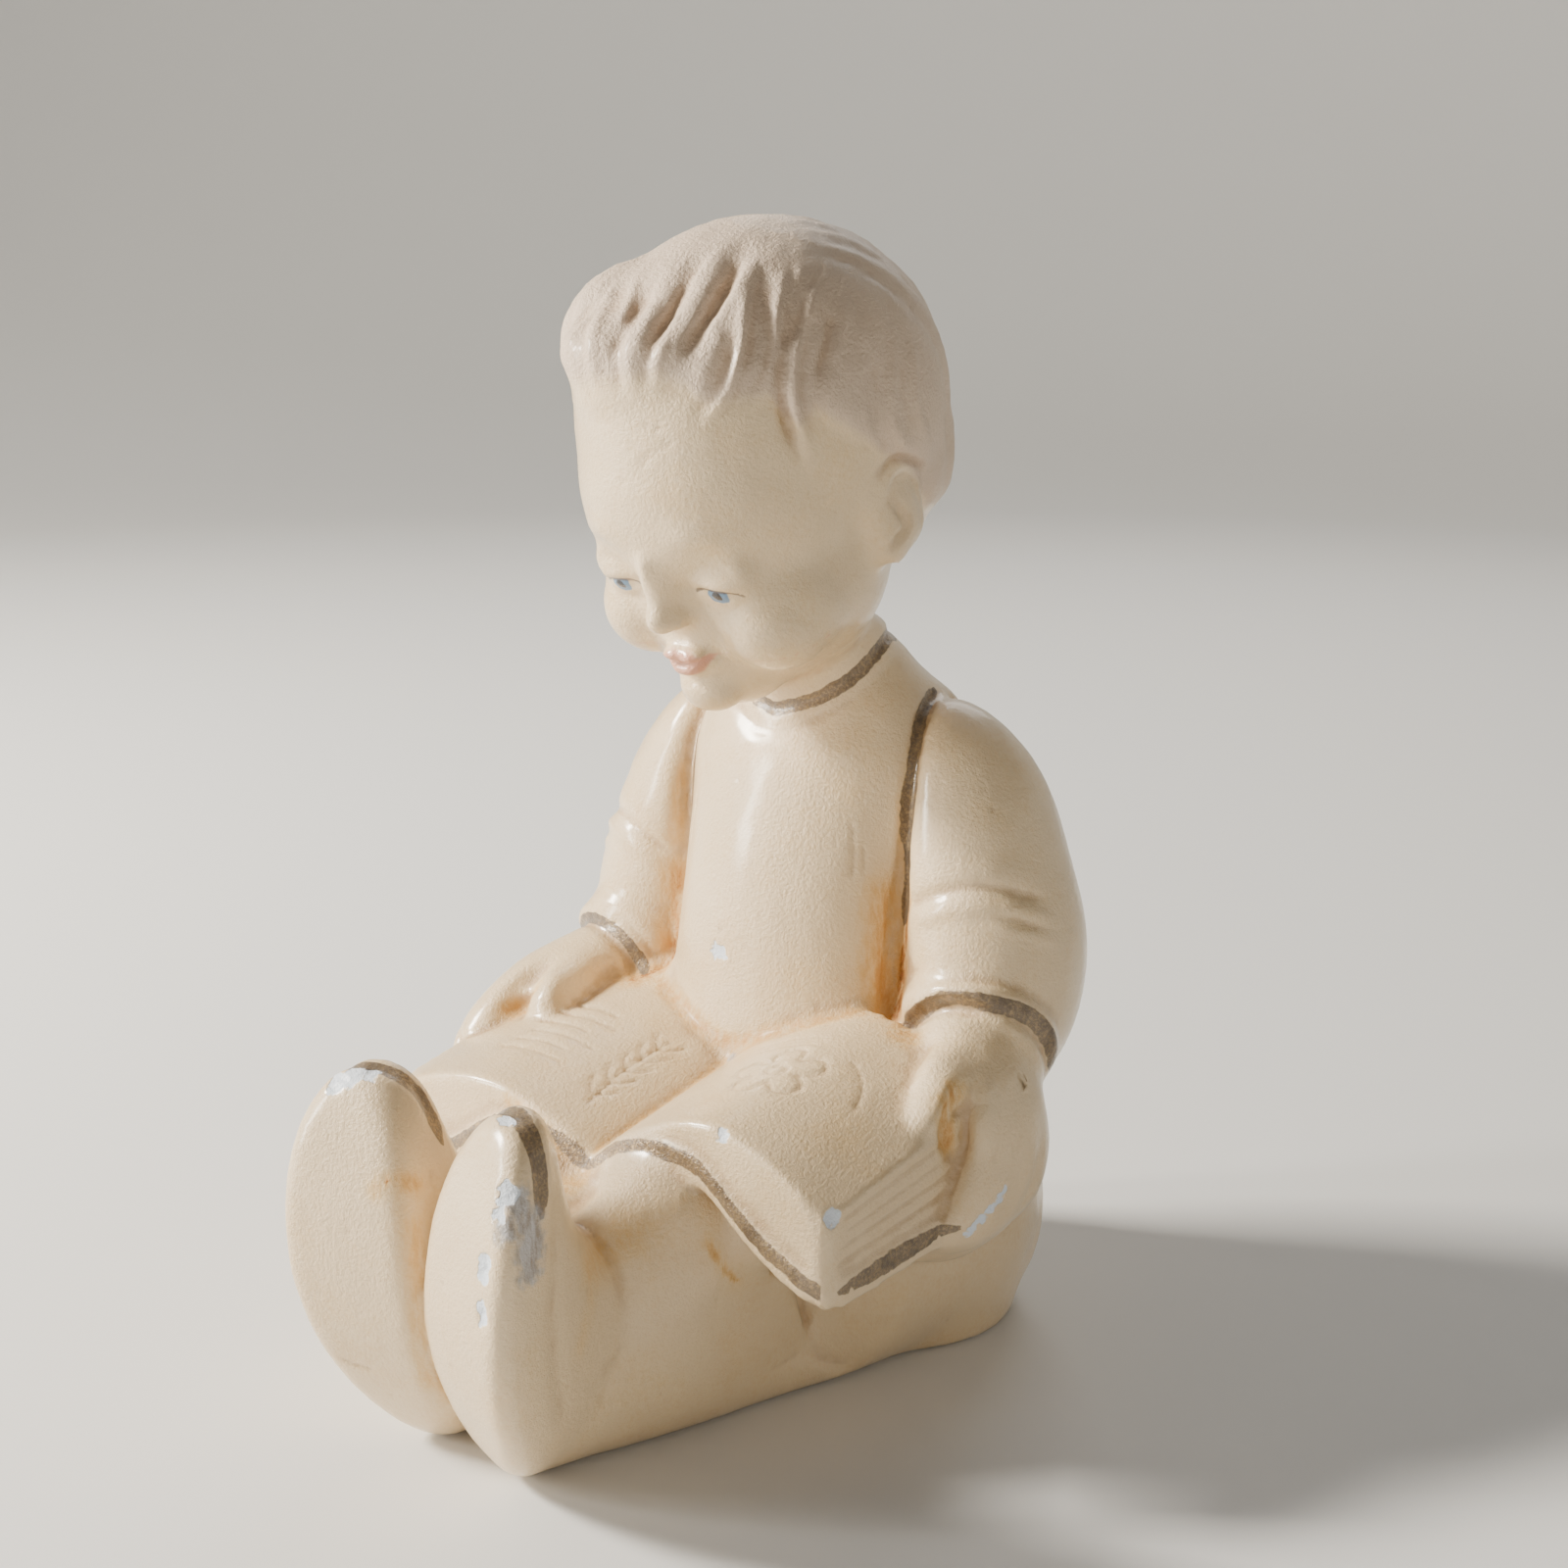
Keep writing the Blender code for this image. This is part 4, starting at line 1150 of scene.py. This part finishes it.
def thinned(mesh, triangles):
    """The same skin with fewer faces, kept dense where it is sharply curved."""
    obj = shown(mesh, "thinning")
    thin = obj.modifiers.new("fewer faces", "DECIMATE")
    thin.ratio = min(1.0, triangles / (2 * len(mesh.polygons)))
    result = after_modifiers(obj)
    result.validate()
    return result


figurine_mesh = thinned(clay.mesh, MOST_TRIANGLES)
figurine_mesh.name = "reading child"
figurine_mesh.shade_smooth()
clay = Clay(figurine_mesh)
print("skin with", sum(len(f.vertices) - 2 for f in figurine_mesh.polygons), "triangles")

# %% [markdown]
# ## Where the paint goes
#
# A brush stroke of paint is known by its distance from a path. That distance is written on every
# point as an attribute, in millimetres and negative inside the stroke, and the material turns it
# into a crisp edge at zero. An image would need a map of the whole surface for the same thing.
# Creases are found, not drawn: where a smoothed copy of the skin lies outside the skin, there is a
# hollow, and hollows are painted brown as shade.

# %% Distances to painted lines
def write(name, values):
    """Keeps one number for each point, for the material to read."""
    attribute = figurine_mesh.attributes.new(name, "FLOAT", "POINT")
    attribute.data.foreach_set("value", np.asarray(values, np.float32))


FAR = 6.0


def paint_distance(strokes):
    """The distance from the nearest stroke's edge. A stroke is a path and its half width."""
    nearest = np.full(len(clay.points), FAR)
    for path, half_width in strokes:
        line = clay.laid(path)
        near = clay.around(line, FAR)
        best, travelled, length = distance_along(clay.points[near], line)
        closed = np.linalg.norm(line[0] - line[-1]) < half_width
        ends = 1 if closed else np.clip(np.minimum(travelled, length - travelled) / 3 + 0.35, 0, 1)
        nearest[near] = np.minimum(nearest[near], best - half_width * ends)
    return nearest


BAND_MIDDLE = 13
BAND_REACH = 11.5
BAND_HALF_WIDTH = 1.25


def cover_bands():
    """The painted front edge of the cover, and the band that tapers along each of its sides."""
    x, y, z = clay.points.T
    depth = y - BOOK_LINE_Y
    top, low = cover_height(x, depth), cover_height(x, depth) - BAND_HEIGHT
    front = np.maximum.reduce(
        [z - top - 0.1, low - z + 0.2, abs(depth) - 1.1, abs(x) - BOOK_HALF_WIDTH + 0.6]
    )
    share = np.clip(1 - ((depth - BAND_MIDDLE) / BAND_REACH) ** 2, 0, 1)
    half = BAND_HALF_WIDTH * np.sqrt(share)
    side = np.maximum(abs(z - (top + low) / 2) - half, BOOK_HALF_WIDTH - 0.5 - abs(x))
    return np.minimum(front, np.where(share > 0, side, OUT_OF_REACH))


FAR_SEAM = [(-(x - 1.7), y - 0.6, z) for x, y, z in SLEEVE_SEAM[:6]]
TRIM = [(COLLAR, 1.05), (SLEEVE_SEAM[:6], 0.95), (SLEEVE_SEAM[3:7], 1.3), (FAR_SEAM, 0.9)]
TRIM += [(LEFT_CUFF, 1.25), (RIGHT_CUFF, 0.9), (LEFT_STRIPE, 1.3), (RIGHT_STRIPE, 1.1)]
trim_distance = np.minimum(paint_distance(TRIM), cover_bands())
write("trim", trim_distance)
write("hair", over_hairline(clay.points, 5.0))
print("trim paint on", int((trim_distance < 0).sum()), "points")


# %% Chips, dust and painted shade in the creases
def spots_distance(spots):
    """The distance from the rim of the nearest spot. A spot is a place, a radius and a depth."""
    nearest = np.full(len(clay.points), FAR)
    for place, radius, _ in spots:
        nearest = np.minimum(nearest, away_from(clay.points, place) - radius)
    return nearest


DUST = [
    ([(19.6, -3.0, 64), (19.4, -3.3, 57), (19.9, -4.3, 51), (21.3, -6.5, 46.5)], 3.4, 0.62),
    ([(20.0, -3.0, 66), (20.0, -3.4, 58), (20.4, -4.6, 51), (21.0, -6.0, 47.5)], 1.0, 1.0),
    ([(20.0, -0.5, 77), (19.8, -2.0, 66)], 2.0, 0.5),
    ([(22.0, -8, 45.5), (24, -9, 45.5), (27, -9, 46.8)], 2.2, 0.7),
    ([(-20, -3.3, 60), (-20.2, -4.3, 52), (-21.0, -7.0, 46.5), (-22.5, -9, 45.5)], 3.0, 0.7),
    ([(-20.3, -4.5, 51), (-21, -7.0, 46.8), (-23, -9.2, 46)], 1.3, 1.0),
    ([(-20.2, -1.5, 76), (-20, -2.5, 66)], 1.8, 0.4),
    ([(19, -7.5, 45.5), (10, -10, 44), (0, -12.5, 41), (-10, -10, 43), (-19, -8, 45)], 1.7, 0.6),
    ([(0, -14, 40), (0, -26, 37), (0, -40, 34)], 1.1, 0.45),
    ([(39.5, -15, 45), (40.1, -17.0, 42), (39.5, -16.5, 38.5)], 1.9, 0.75),
    ([(-32, -20.8, 45.5), (-35, -23, 42)], 1.8, 0.6),
    ([(0, -62, 40), (0, -60, 28), (0, -60, 14)], 1.8, 0.6),
    ([(0, -41.5, 31), (0, -46, 28), (0, -52, 27)], 2.6, 0.5),
    ([(0, -41.8, 32.5), (-8, -41.8, 36), (-16, -41.8, 38)], 1.4, 0.5),
    ([(20.5, -41.3, 27.6), (21.9, -39.6, 24.0), (23.2, -37.6, 21.3)], 0.5, 0.8),
    ([(20.5, -41.3, 27.6), (23.2, -37.6, 21.3)], 2.4, 0.22),
    ([(17.1, -58.6, 29.1), (13.5, -53.3, 29.0), (14.8, -49.2, 30.0)], 3.2, 0.34),
    ([(18.2, -61.7, 20), (17.1, -58.6, 29.1)], 1.6, 0.25),
    ([(-6.2, -72.4, 37.4), (-4.7, -71.6, 38.7), (-2.7, -68.9, 38.2)], 1.5, 0.55),
    ([(-6.2, -72.4, 37.4), (-5.9, -72.3, 37.6)], 0.4, 1.0),
    ([(-4.9, -71.7, 38.6), (-4.5, -71.5, 38.7)], 0.4, 1.0),
    ([(-1.8, -70, 33), (-1.2, -70.3, 24), (-1.6, -69, 12)], 1.8, 0.4),
]


def haze(path, reach):
    """1 on the path, fading away from it like spilt powder."""
    away, _, _ = distance_along(clay.points, clay.laid(path))
    return np.exp(-((away / reach) ** 2))


def dust():
    """How much brown dust lies at each point, from 0 to 1."""
    most = np.zeros(len(clay.points))
    for path, reach, strength in DUST:
        most = np.maximum(most, strength * haze(path, reach))
    return most


def ear_fold_shade():
    """Brown painted shade in the folds of the ears."""
    folds = [beside_head(path, side) for path in (EAR_HOLLOW, EAR_ARCH) for side in (-1, 1)]
    return sum(haze(fold, 1.1) for fold in folds)


def crease_shade_share():
    """How much painted crease shade each point takes: less on the face, the ears, the hair and the slope
    under the book.
    """
    share = 1 - 0.9 * near_spot(clay.points, FACE_MIDDLE, 24) - 0.95 * below_cover(clay.points)
    for side in (-1, 1):
        share -= 0.8 * near_spot(clay.points, on_head(side * 21, -4, -8), 12)
    return np.clip(share - 0.4 * over_hairline(clay.points, HAIR_EDGE), 0, 1)


def hollowness(smoothed):
    """How far a smoothed copy of the skin lies outside it."""
    return ((smoothed - clay.points) * clay.normals).sum(axis=1)


NARROW_PASSES = 10
BROAD_PASSES = 50
NARROW_HOLLOW = 0.10
BROAD_HOLLOW = 0.45
# Painted shade: the hollows measured here are painted brown in the material, in a narrow and a broad width
soft = evened(clay.points, clay.ends, NARROW_PASSES)
hollow = hollowness(soft)
broad = hollowness(evened(soft, clay.ends, BROAD_PASSES))
shade_share = crease_shade_share()
write("chips", spots_distance(CHIPS))
write("bruises", spots_distance(BRUISES))
write("dust", dust())
# These two attributes carry the painted shade of the creases, and of the ear folds
write("hollow", np.clip(hollow / NARROW_HOLLOW, -1, 1) * shade_share)
crease_shade = np.clip(broad / BROAD_HOLLOW, -1, 1) * shade_share
write("broad hollow", np.clip(crease_shade + 1.2 * ear_fold_shade(), -1, 1))
print("hollows up to", round(float(hollow.max()), 2), "mm deep")


# %% Eyes and lips
UPPER_LIP = [
    (-4.3, -16.1), (-2.0, -14.9), (-0.9, -14.6), (0, -15.0), (0.9, -14.6), (2.0, -14.9), (4.3, -16.1),
]
LOWER_LIP = [(-4.3, -16.1), (-2.6, -18.0), (0, -18.6), (2.6, -18.0), (4.3, -16.1)]


def face_paint():
    """Distances, on the face, to the painted eye, iris, pupil, lid line and lips."""
    upright = (clay.points - np.array(HEAD_CENTRE)) @ np.array(BOW)
    x, y, z = upright.T
    across = abs(x)
    lid = np.interp(across, *zip(*UPPER_LID)) - 0.25
    floor_of_eye = np.interp(across, *zip(*LOWER_LID)) + 0.2
    opening = np.maximum(z - lid, floor_of_eye - z)
    opening = np.maximum(opening, np.maximum(4.8 - across, across - 11.9))
    iris_away = np.hypot(across - 8.5, z + 6.6)
    upper_lip, lower_lip = (np.interp(x, *zip(*line)) for line in (UPPER_LIP, LOWER_LIP))
    distances = {
        "eye": opening,
        "iris": np.maximum(iris_away - 1.6, opening),
        "pupil": np.maximum(iris_away - 0.75, opening),
        "lid line": np.maximum(abs(z - lid) - 0.25, abs(across - 8.4) - 3.6),
        "lips": np.maximum(z - upper_lip, lower_lip - z),
    }
    return {name: np.where(y < -14, distance, FAR) for name, distance in distances.items()}


for name, distance in face_paint().items():
    write(name, np.clip(distance, -FAR, FAR))
print("paint attributes:", [a.name for a in figurine_mesh.attributes if a.data_type == "FLOAT"])

# %% [markdown]
# ## Materials
#
# One painted casting is one material, in layers, as the decorator put them on: plaster, cream paint,
# the coloured strokes, varnish, and then what the years added. Each layer is a mask and a colour.
# A class with a few short words adds the nodes. Two small node groups do what repeats: one turns a
# distance into a stroke with a ragged edge, and one makes the mottle that hand-mixed paint has.


# %% Node helpers
class Paint:
    """A node tree, with short words for the nodes that a painted finish needs."""

    def __init__(self, tree):
        self.tree = tree

    def put(self, kind, **settings):
        """Adds a node and sets its properties."""
        node = self.tree.nodes.new(kind)
        for key, value in settings.items():
            setattr(node, key, value)
        return node

    def feed(self, socket, value):
        """Joins a socket to another, or sets its value."""
        if isinstance(value, bpy.types.NodeSocket):
            self.tree.links.new(value, socket)
        else:
            socket.default_value = value

    def maths(self, operation, a, b, clamp=False):
        """One sum of two numbers or sockets."""
        node = self.put("ShaderNodeMath", operation=operation, use_clamp=clamp)
        self.feed(node.inputs[0], a)
        self.feed(node.inputs[1], b)
        return node.outputs[0]

    def times(self, a, b, clamp=False):
        return self.maths("MULTIPLY", a, b, clamp)

    def plus(self, a, b, clamp=False):
        return self.maths("ADD", a, b, clamp)

    def minus(self, a, b, clamp=False):
        return self.maths("SUBTRACT", a, b, clamp)

    def spread(self, value, low, high, to_low=0.0, to_high=1.0):
        """Maps a value from one range to another, smoothly and without going over."""
        node = self.put("ShaderNodeMapRange", interpolation_type="SMOOTHSTEP", clamp=True)
        names = ("Value", "From Min", "From Max", "To Min", "To Max")
        for name, amount in zip(names, (value, low, high, to_low, to_high)):
            self.feed(node.inputs[name], amount)
        return node.outputs["Result"]

    def grain(self, scale, detail=3.0, roughness=0.55, squeeze=None):
        """Noise in the piece's own space, with scale in bumps for each millimetre."""
        where = self.put("ShaderNodeTexCoord").outputs["Object"]
        if squeeze:
            squeezed = self.put("ShaderNodeVectorMath", operation="MULTIPLY")
            self.feed(squeezed.inputs[0], where)
            squeezed.inputs[1].default_value = squeeze
            where = squeezed.outputs[0]
        node = self.put("ShaderNodeTexNoise")
        names = ("Vector", "Scale", "Detail", "Roughness")
        for name, amount in zip(names, (where, scale / MM, detail, roughness)):
            self.feed(node.inputs[name], amount)
        return node.outputs["Fac"]

    def layer(self, below, above, mask, strength=1.0):
        """One colour over another where the mask is 1, at the strength given."""
        node = self.put("ShaderNodeMix", data_type="RGBA")
        self.feed(node.inputs["Factor"], self.times(mask, strength) if strength < 1 else mask)
        self.feed(node.inputs[6], below)
        self.feed(node.inputs[7], above)
        return node.outputs[2]

    def number(self, name):
        """Reads one of the numbers that were written on the points."""
        return self.put("ShaderNodeAttribute", attribute_name=name).outputs["Fac"]

    def group(self, name, **amounts):
        """The mask that a node group makes of the amounts."""
        node = self.put("ShaderNodeGroup", node_tree=bpy.data.node_groups[name])
        for socket, amount in amounts.items():
            self.feed(node.inputs[socket], amount)
        return node.outputs["Mask"]

    def stroke(self, name, ragged, softness):
        """Where a brush has passed, from the distances of that name."""
        amounts = {"Distance": self.number(name), "Ragged": ragged, "Softness": softness}
        return self.group("hand-painted stroke", **amounts)


print("a painter's words:", [word for word in vars(Paint) if not word.startswith("_")])


# %% Node groups
def group_tree(name, inputs):
    """A node group with named numbers going in and one mask coming out."""
    tree = bpy.data.node_groups.new(name, "ShaderNodeTree")
    for socket, value in inputs.items():
        made = tree.interface.new_socket(socket, in_out="INPUT", socket_type="NodeSocketFloat")
        made.default_value = value
    tree.interface.new_socket("Mask", in_out="OUTPUT", socket_type="NodeSocketFloat")
    paint = Paint(tree)
    return paint, paint.put("NodeGroupInput").outputs, paint.put("NodeGroupOutput").inputs["Mask"]


def make_stroke_group():
    """Turns a distance into a mask whose edge wanders and is a little soft."""
    amounts = {"Distance": 1.0, "Ragged": 0.3, "Softness": 0.08}
    paint, given, mask = group_tree("hand-painted stroke", amounts)
    wander = paint.times(paint.minus(paint.grain(0.8, 1.0), 0.5), given["Ragged"])
    edge = paint.plus(given["Distance"], wander)
    inner = paint.times(given["Softness"], -1.0)
    paint.feed(mask, paint.spread(edge, inner, given["Softness"], 1.0, 0.0))


def make_mottle_group():
    """Clouds with specks in them, which cover more or less of the surface."""
    paint, given, mask = group_tree("mottle", {"Cover": 0.5})
    clouds = paint.times(paint.grain(0.09, 4.0, 0.6), 0.6)
    specks = paint.times(paint.grain(1.6, 2.0, 0.6), 0.4)
    start = paint.minus(0.98, given["Cover"])
    low, high = paint.minus(start, 0.16), paint.plus(start, 0.12)
    paint.feed(mask, paint.spread(paint.plus(clouds, specks), low, high))


make_stroke_group()
make_mottle_group()
print("groups:", [g.name for g in bpy.data.node_groups])

# %% Colours and finish
CREAM = (0.78, 0.575, 0.325, 1)
PALE_CREAM = (0.83, 0.66, 0.43, 1)
WARM_CREAM = (0.70, 0.48, 0.235, 1)
HAIR_CREAM = (0.66, 0.52, 0.42, 1)
# The brown of the painted shade in creases and hollows
CREASE_SHADE_BROWN = (0.42, 0.25, 0.12, 1)
DUST_YELLOW = (0.74, 0.46, 0.15, 1)
DUST_ORANGE = (0.55, 0.23, 0.035, 1)
DUST_BROWN = (0.26, 0.09, 0.018, 1)
TRIM_BROWN = (0.21, 0.15, 0.092, 1)
TRIM_GOLD = (0.46, 0.33, 0.17, 1)
TRIM_DARK = (0.085, 0.058, 0.036, 1)
BARE_PLASTER = (0.74, 0.80, 0.88, 1)
BRUISED_PLASTER = (0.50, 0.52, 0.57, 1)
BRUISE_DARK = (0.17, 0.14, 0.13, 1)
IRIS_BLUE = (0.16, 0.29, 0.46, 1)
PUPIL_BLACK = (0.01, 0.01, 0.014, 1)
LASH_BROWN = (0.10, 0.055, 0.03, 1)
LIP_RED = (0.62, 0.16, 0.11, 1)
VARNISH = 0.7
VARNISH_ROUGHNESS = 0.2
SHEEN_OF_PAINT = 0.45
GOLD_SHINE = 0.45
BUMP_STRENGTH = 0.75
BUMP_HEIGHT = 0.3 * MM
FACE_STROKES = [
    ("lips", 0.35, 0.35, LIP_RED, 0.62),
    ("eye", 0.1, 0.15, PALE_CREAM, 0.6),
    ("iris", 0.12, 0.10, IRIS_BLUE, 1.0),
    ("pupil", 0.1, 0.08, PUPIL_BLACK, 1.0),
    ("lid line", 0.22, 0.10, LASH_BROWN, 0.75),
]
print("colours ready, with", len(FACE_STROKES), "strokes of paint for the face")


# %% Coats of paint and dust
def cream_coats(paint, hair):
    """Uneven cream over the plaster, greyer on the hair, with brown painted shade in the creases."""
    colour = paint.layer(CREAM, PALE_CREAM, paint.group("mottle", Cover=0.5))
    colour = paint.layer(colour, WARM_CREAM, paint.group("mottle", Cover=0.36), 0.45)
    colour = paint.layer(colour, HAIR_CREAM, hair, 0.75)
    # Painted shade: the deeper a crease or hollow, the more brown it gets, broken up by grain
    hollow = paint.spread(paint.number("hollow"), 0.10, 0.9)
    broad = paint.spread(paint.number("broad hollow"), 0.15, 1.0)
    crease = paint.plus(paint.times(hollow, 0.35), paint.times(broad, 0.35), True)
    broken = paint.spread(paint.grain(0.5), 0.25, 0.7, 0.55, 1.0)
    return paint.layer(colour, CREASE_SHADE_BROWN, paint.times(crease, broken))


def dust_coats(paint, colour, dust, dust_mask, streaks):
    """Dust that turns from yellow to orange and brown where it lies thicker."""
    colour = paint.layer(colour, DUST_YELLOW, paint.spread(dust_mask, 0.0, 0.4), 0.6)
    colour = paint.layer(colour, DUST_ORANGE, paint.spread(dust_mask, 0.2, 0.8), 0.85)
    deep = paint.times(paint.spread(dust, 0.62, 0.95), paint.spread(streaks, 0.42, 0.62))
    return paint.layer(colour, DUST_BROWN, deep, 0.85)


def trim_coat(paint, flecks):
    """The brown of the trim, with gold flecks and darker stretches."""
    colour = paint.layer(TRIM_BROWN, TRIM_GOLD, flecks, 0.7)
    return paint.layer(colour, TRIM_DARK, paint.spread(paint.grain(0.25, 4.0), 0.45, 0.65), 0.6)


def smear(paint, streaks):
    """The grey streaks of a bruise."""
    return paint.layer(BRUISE_DARK, BRUISED_PLASTER, paint.spread(streaks, 0.34, 0.66))


def fine_relief(paint, hair, chips):
    """Pebbles and fine grain as bumps, stronger on the hair and lower in the chips."""
    pebble = paint.times(paint.grain(1.9, 4.0, 0.6), paint.plus(paint.times(hair, 0.8), 1.0))
    fine = paint.plus(pebble, paint.times(paint.grain(5.0, 2.0), 0.3))
    bump = paint.put("ShaderNodeBump")
    bump.inputs["Strength"].default_value = BUMP_STRENGTH
    bump.inputs["Distance"].default_value = BUMP_HEIGHT
    paint.feed(bump.inputs["Height"], paint.minus(fine, paint.times(chips, 0.5)))
    return bump.outputs["Normal"]


print("coats:", [coat.__name__ for coat in (cream_coats, dust_coats, trim_coat, smear, fine_relief)])


# %% Painted plaster
def painted_plaster():
    """Cream paint in layers over plaster, with trim, face paint, dust, chips and varnish."""
    material = bpy.data.materials.new("painted plaster")
    material.use_nodes = True
    paint = Paint(material.node_tree)
    shader = material.node_tree.nodes["Principled BSDF"]
    hair = paint.number("hair")
    dust_amount = paint.number("dust")
    streaks = paint.grain(0.9, 4.0, 0.7, squeeze=(1, 1, 0.3))
    patchy = paint.plus(paint.times(paint.spread(streaks, 0.30, 0.66), 0.65), 0.3)
    dust_mask = paint.times(dust_amount, patchy, True)
    flecks = paint.spread(paint.grain(2.4, 3.0, 0.7), 0.44, 0.64)
    worn = paint.spread(paint.grain(1.2, 4.0, 0.7), 0.24, 0.30)
    trim = paint.times(paint.stroke("trim", 0.55, 0.10), worn)
    chips = paint.stroke("chips", 1.9, 0.16)

    colour = dust_coats(paint, cream_coats(paint, hair), dust_amount, dust_mask, streaks)
    for name, ragged, softness, coat, strength in FACE_STROKES:
        colour = paint.layer(colour, coat, paint.stroke(name, ragged, softness), strength)
    colour = paint.layer(colour, trim_coat(paint, flecks), trim)
    colour = paint.layer(colour, smear(paint, streaks), paint.stroke("bruises", 2.6, 0.9), 0.8)
    paint.feed(shader.inputs["Base Color"], paint.layer(colour, BARE_PLASTER, chips))
    paint.feed(shader.inputs["Metallic"], paint.times(paint.times(trim, flecks), GOLD_SHINE))

    rough = paint.spread(paint.grain(0.12, 4.0), 0.3, 0.7, 0.30, 0.46)
    rough = paint.plus(rough, paint.times(hair, 0.18))
    rough = paint.plus(rough, paint.times(dust_mask, 0.35))
    rough = paint.maths("MAXIMUM", rough, paint.times(chips, 0.85), True)
    paint.feed(shader.inputs["Roughness"], rough)
    dull = paint.maths("MAXIMUM", chips, paint.spread(dust_amount, 0.05, 0.35))
    varnish = paint.minus(VARNISH, paint.times(dull, 0.6), True)
    bald = paint.spread(hair, 0.0, 1.0, 1.0, 0.25)
    paint.feed(shader.inputs["Coat Weight"], paint.times(varnish, bald))
    shader.inputs["Coat Roughness"].default_value = VARNISH_ROUGHNESS
    shader.inputs["Specular IOR Level"].default_value = SHEEN_OF_PAINT
    paint.feed(shader.inputs["Normal"], fine_relief(paint, hair, chips))
    return material


figurine_mesh.materials.clear()
figurine_mesh.materials.append(painted_plaster())
print("material:", figurine_mesh.materials[0].name)

# %% [markdown]
# ## Hand the piece over
#
# The new skin stands for the packed solid, which stays in the part for its weight and its touch. It
# rides on the part's only body and names the finish that it takes.

# %% Hand over
figurine = shown(figurine_mesh, "reading_child")
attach(figurine, "root")
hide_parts("reading_boy")
bpy.context.view_layer.update()
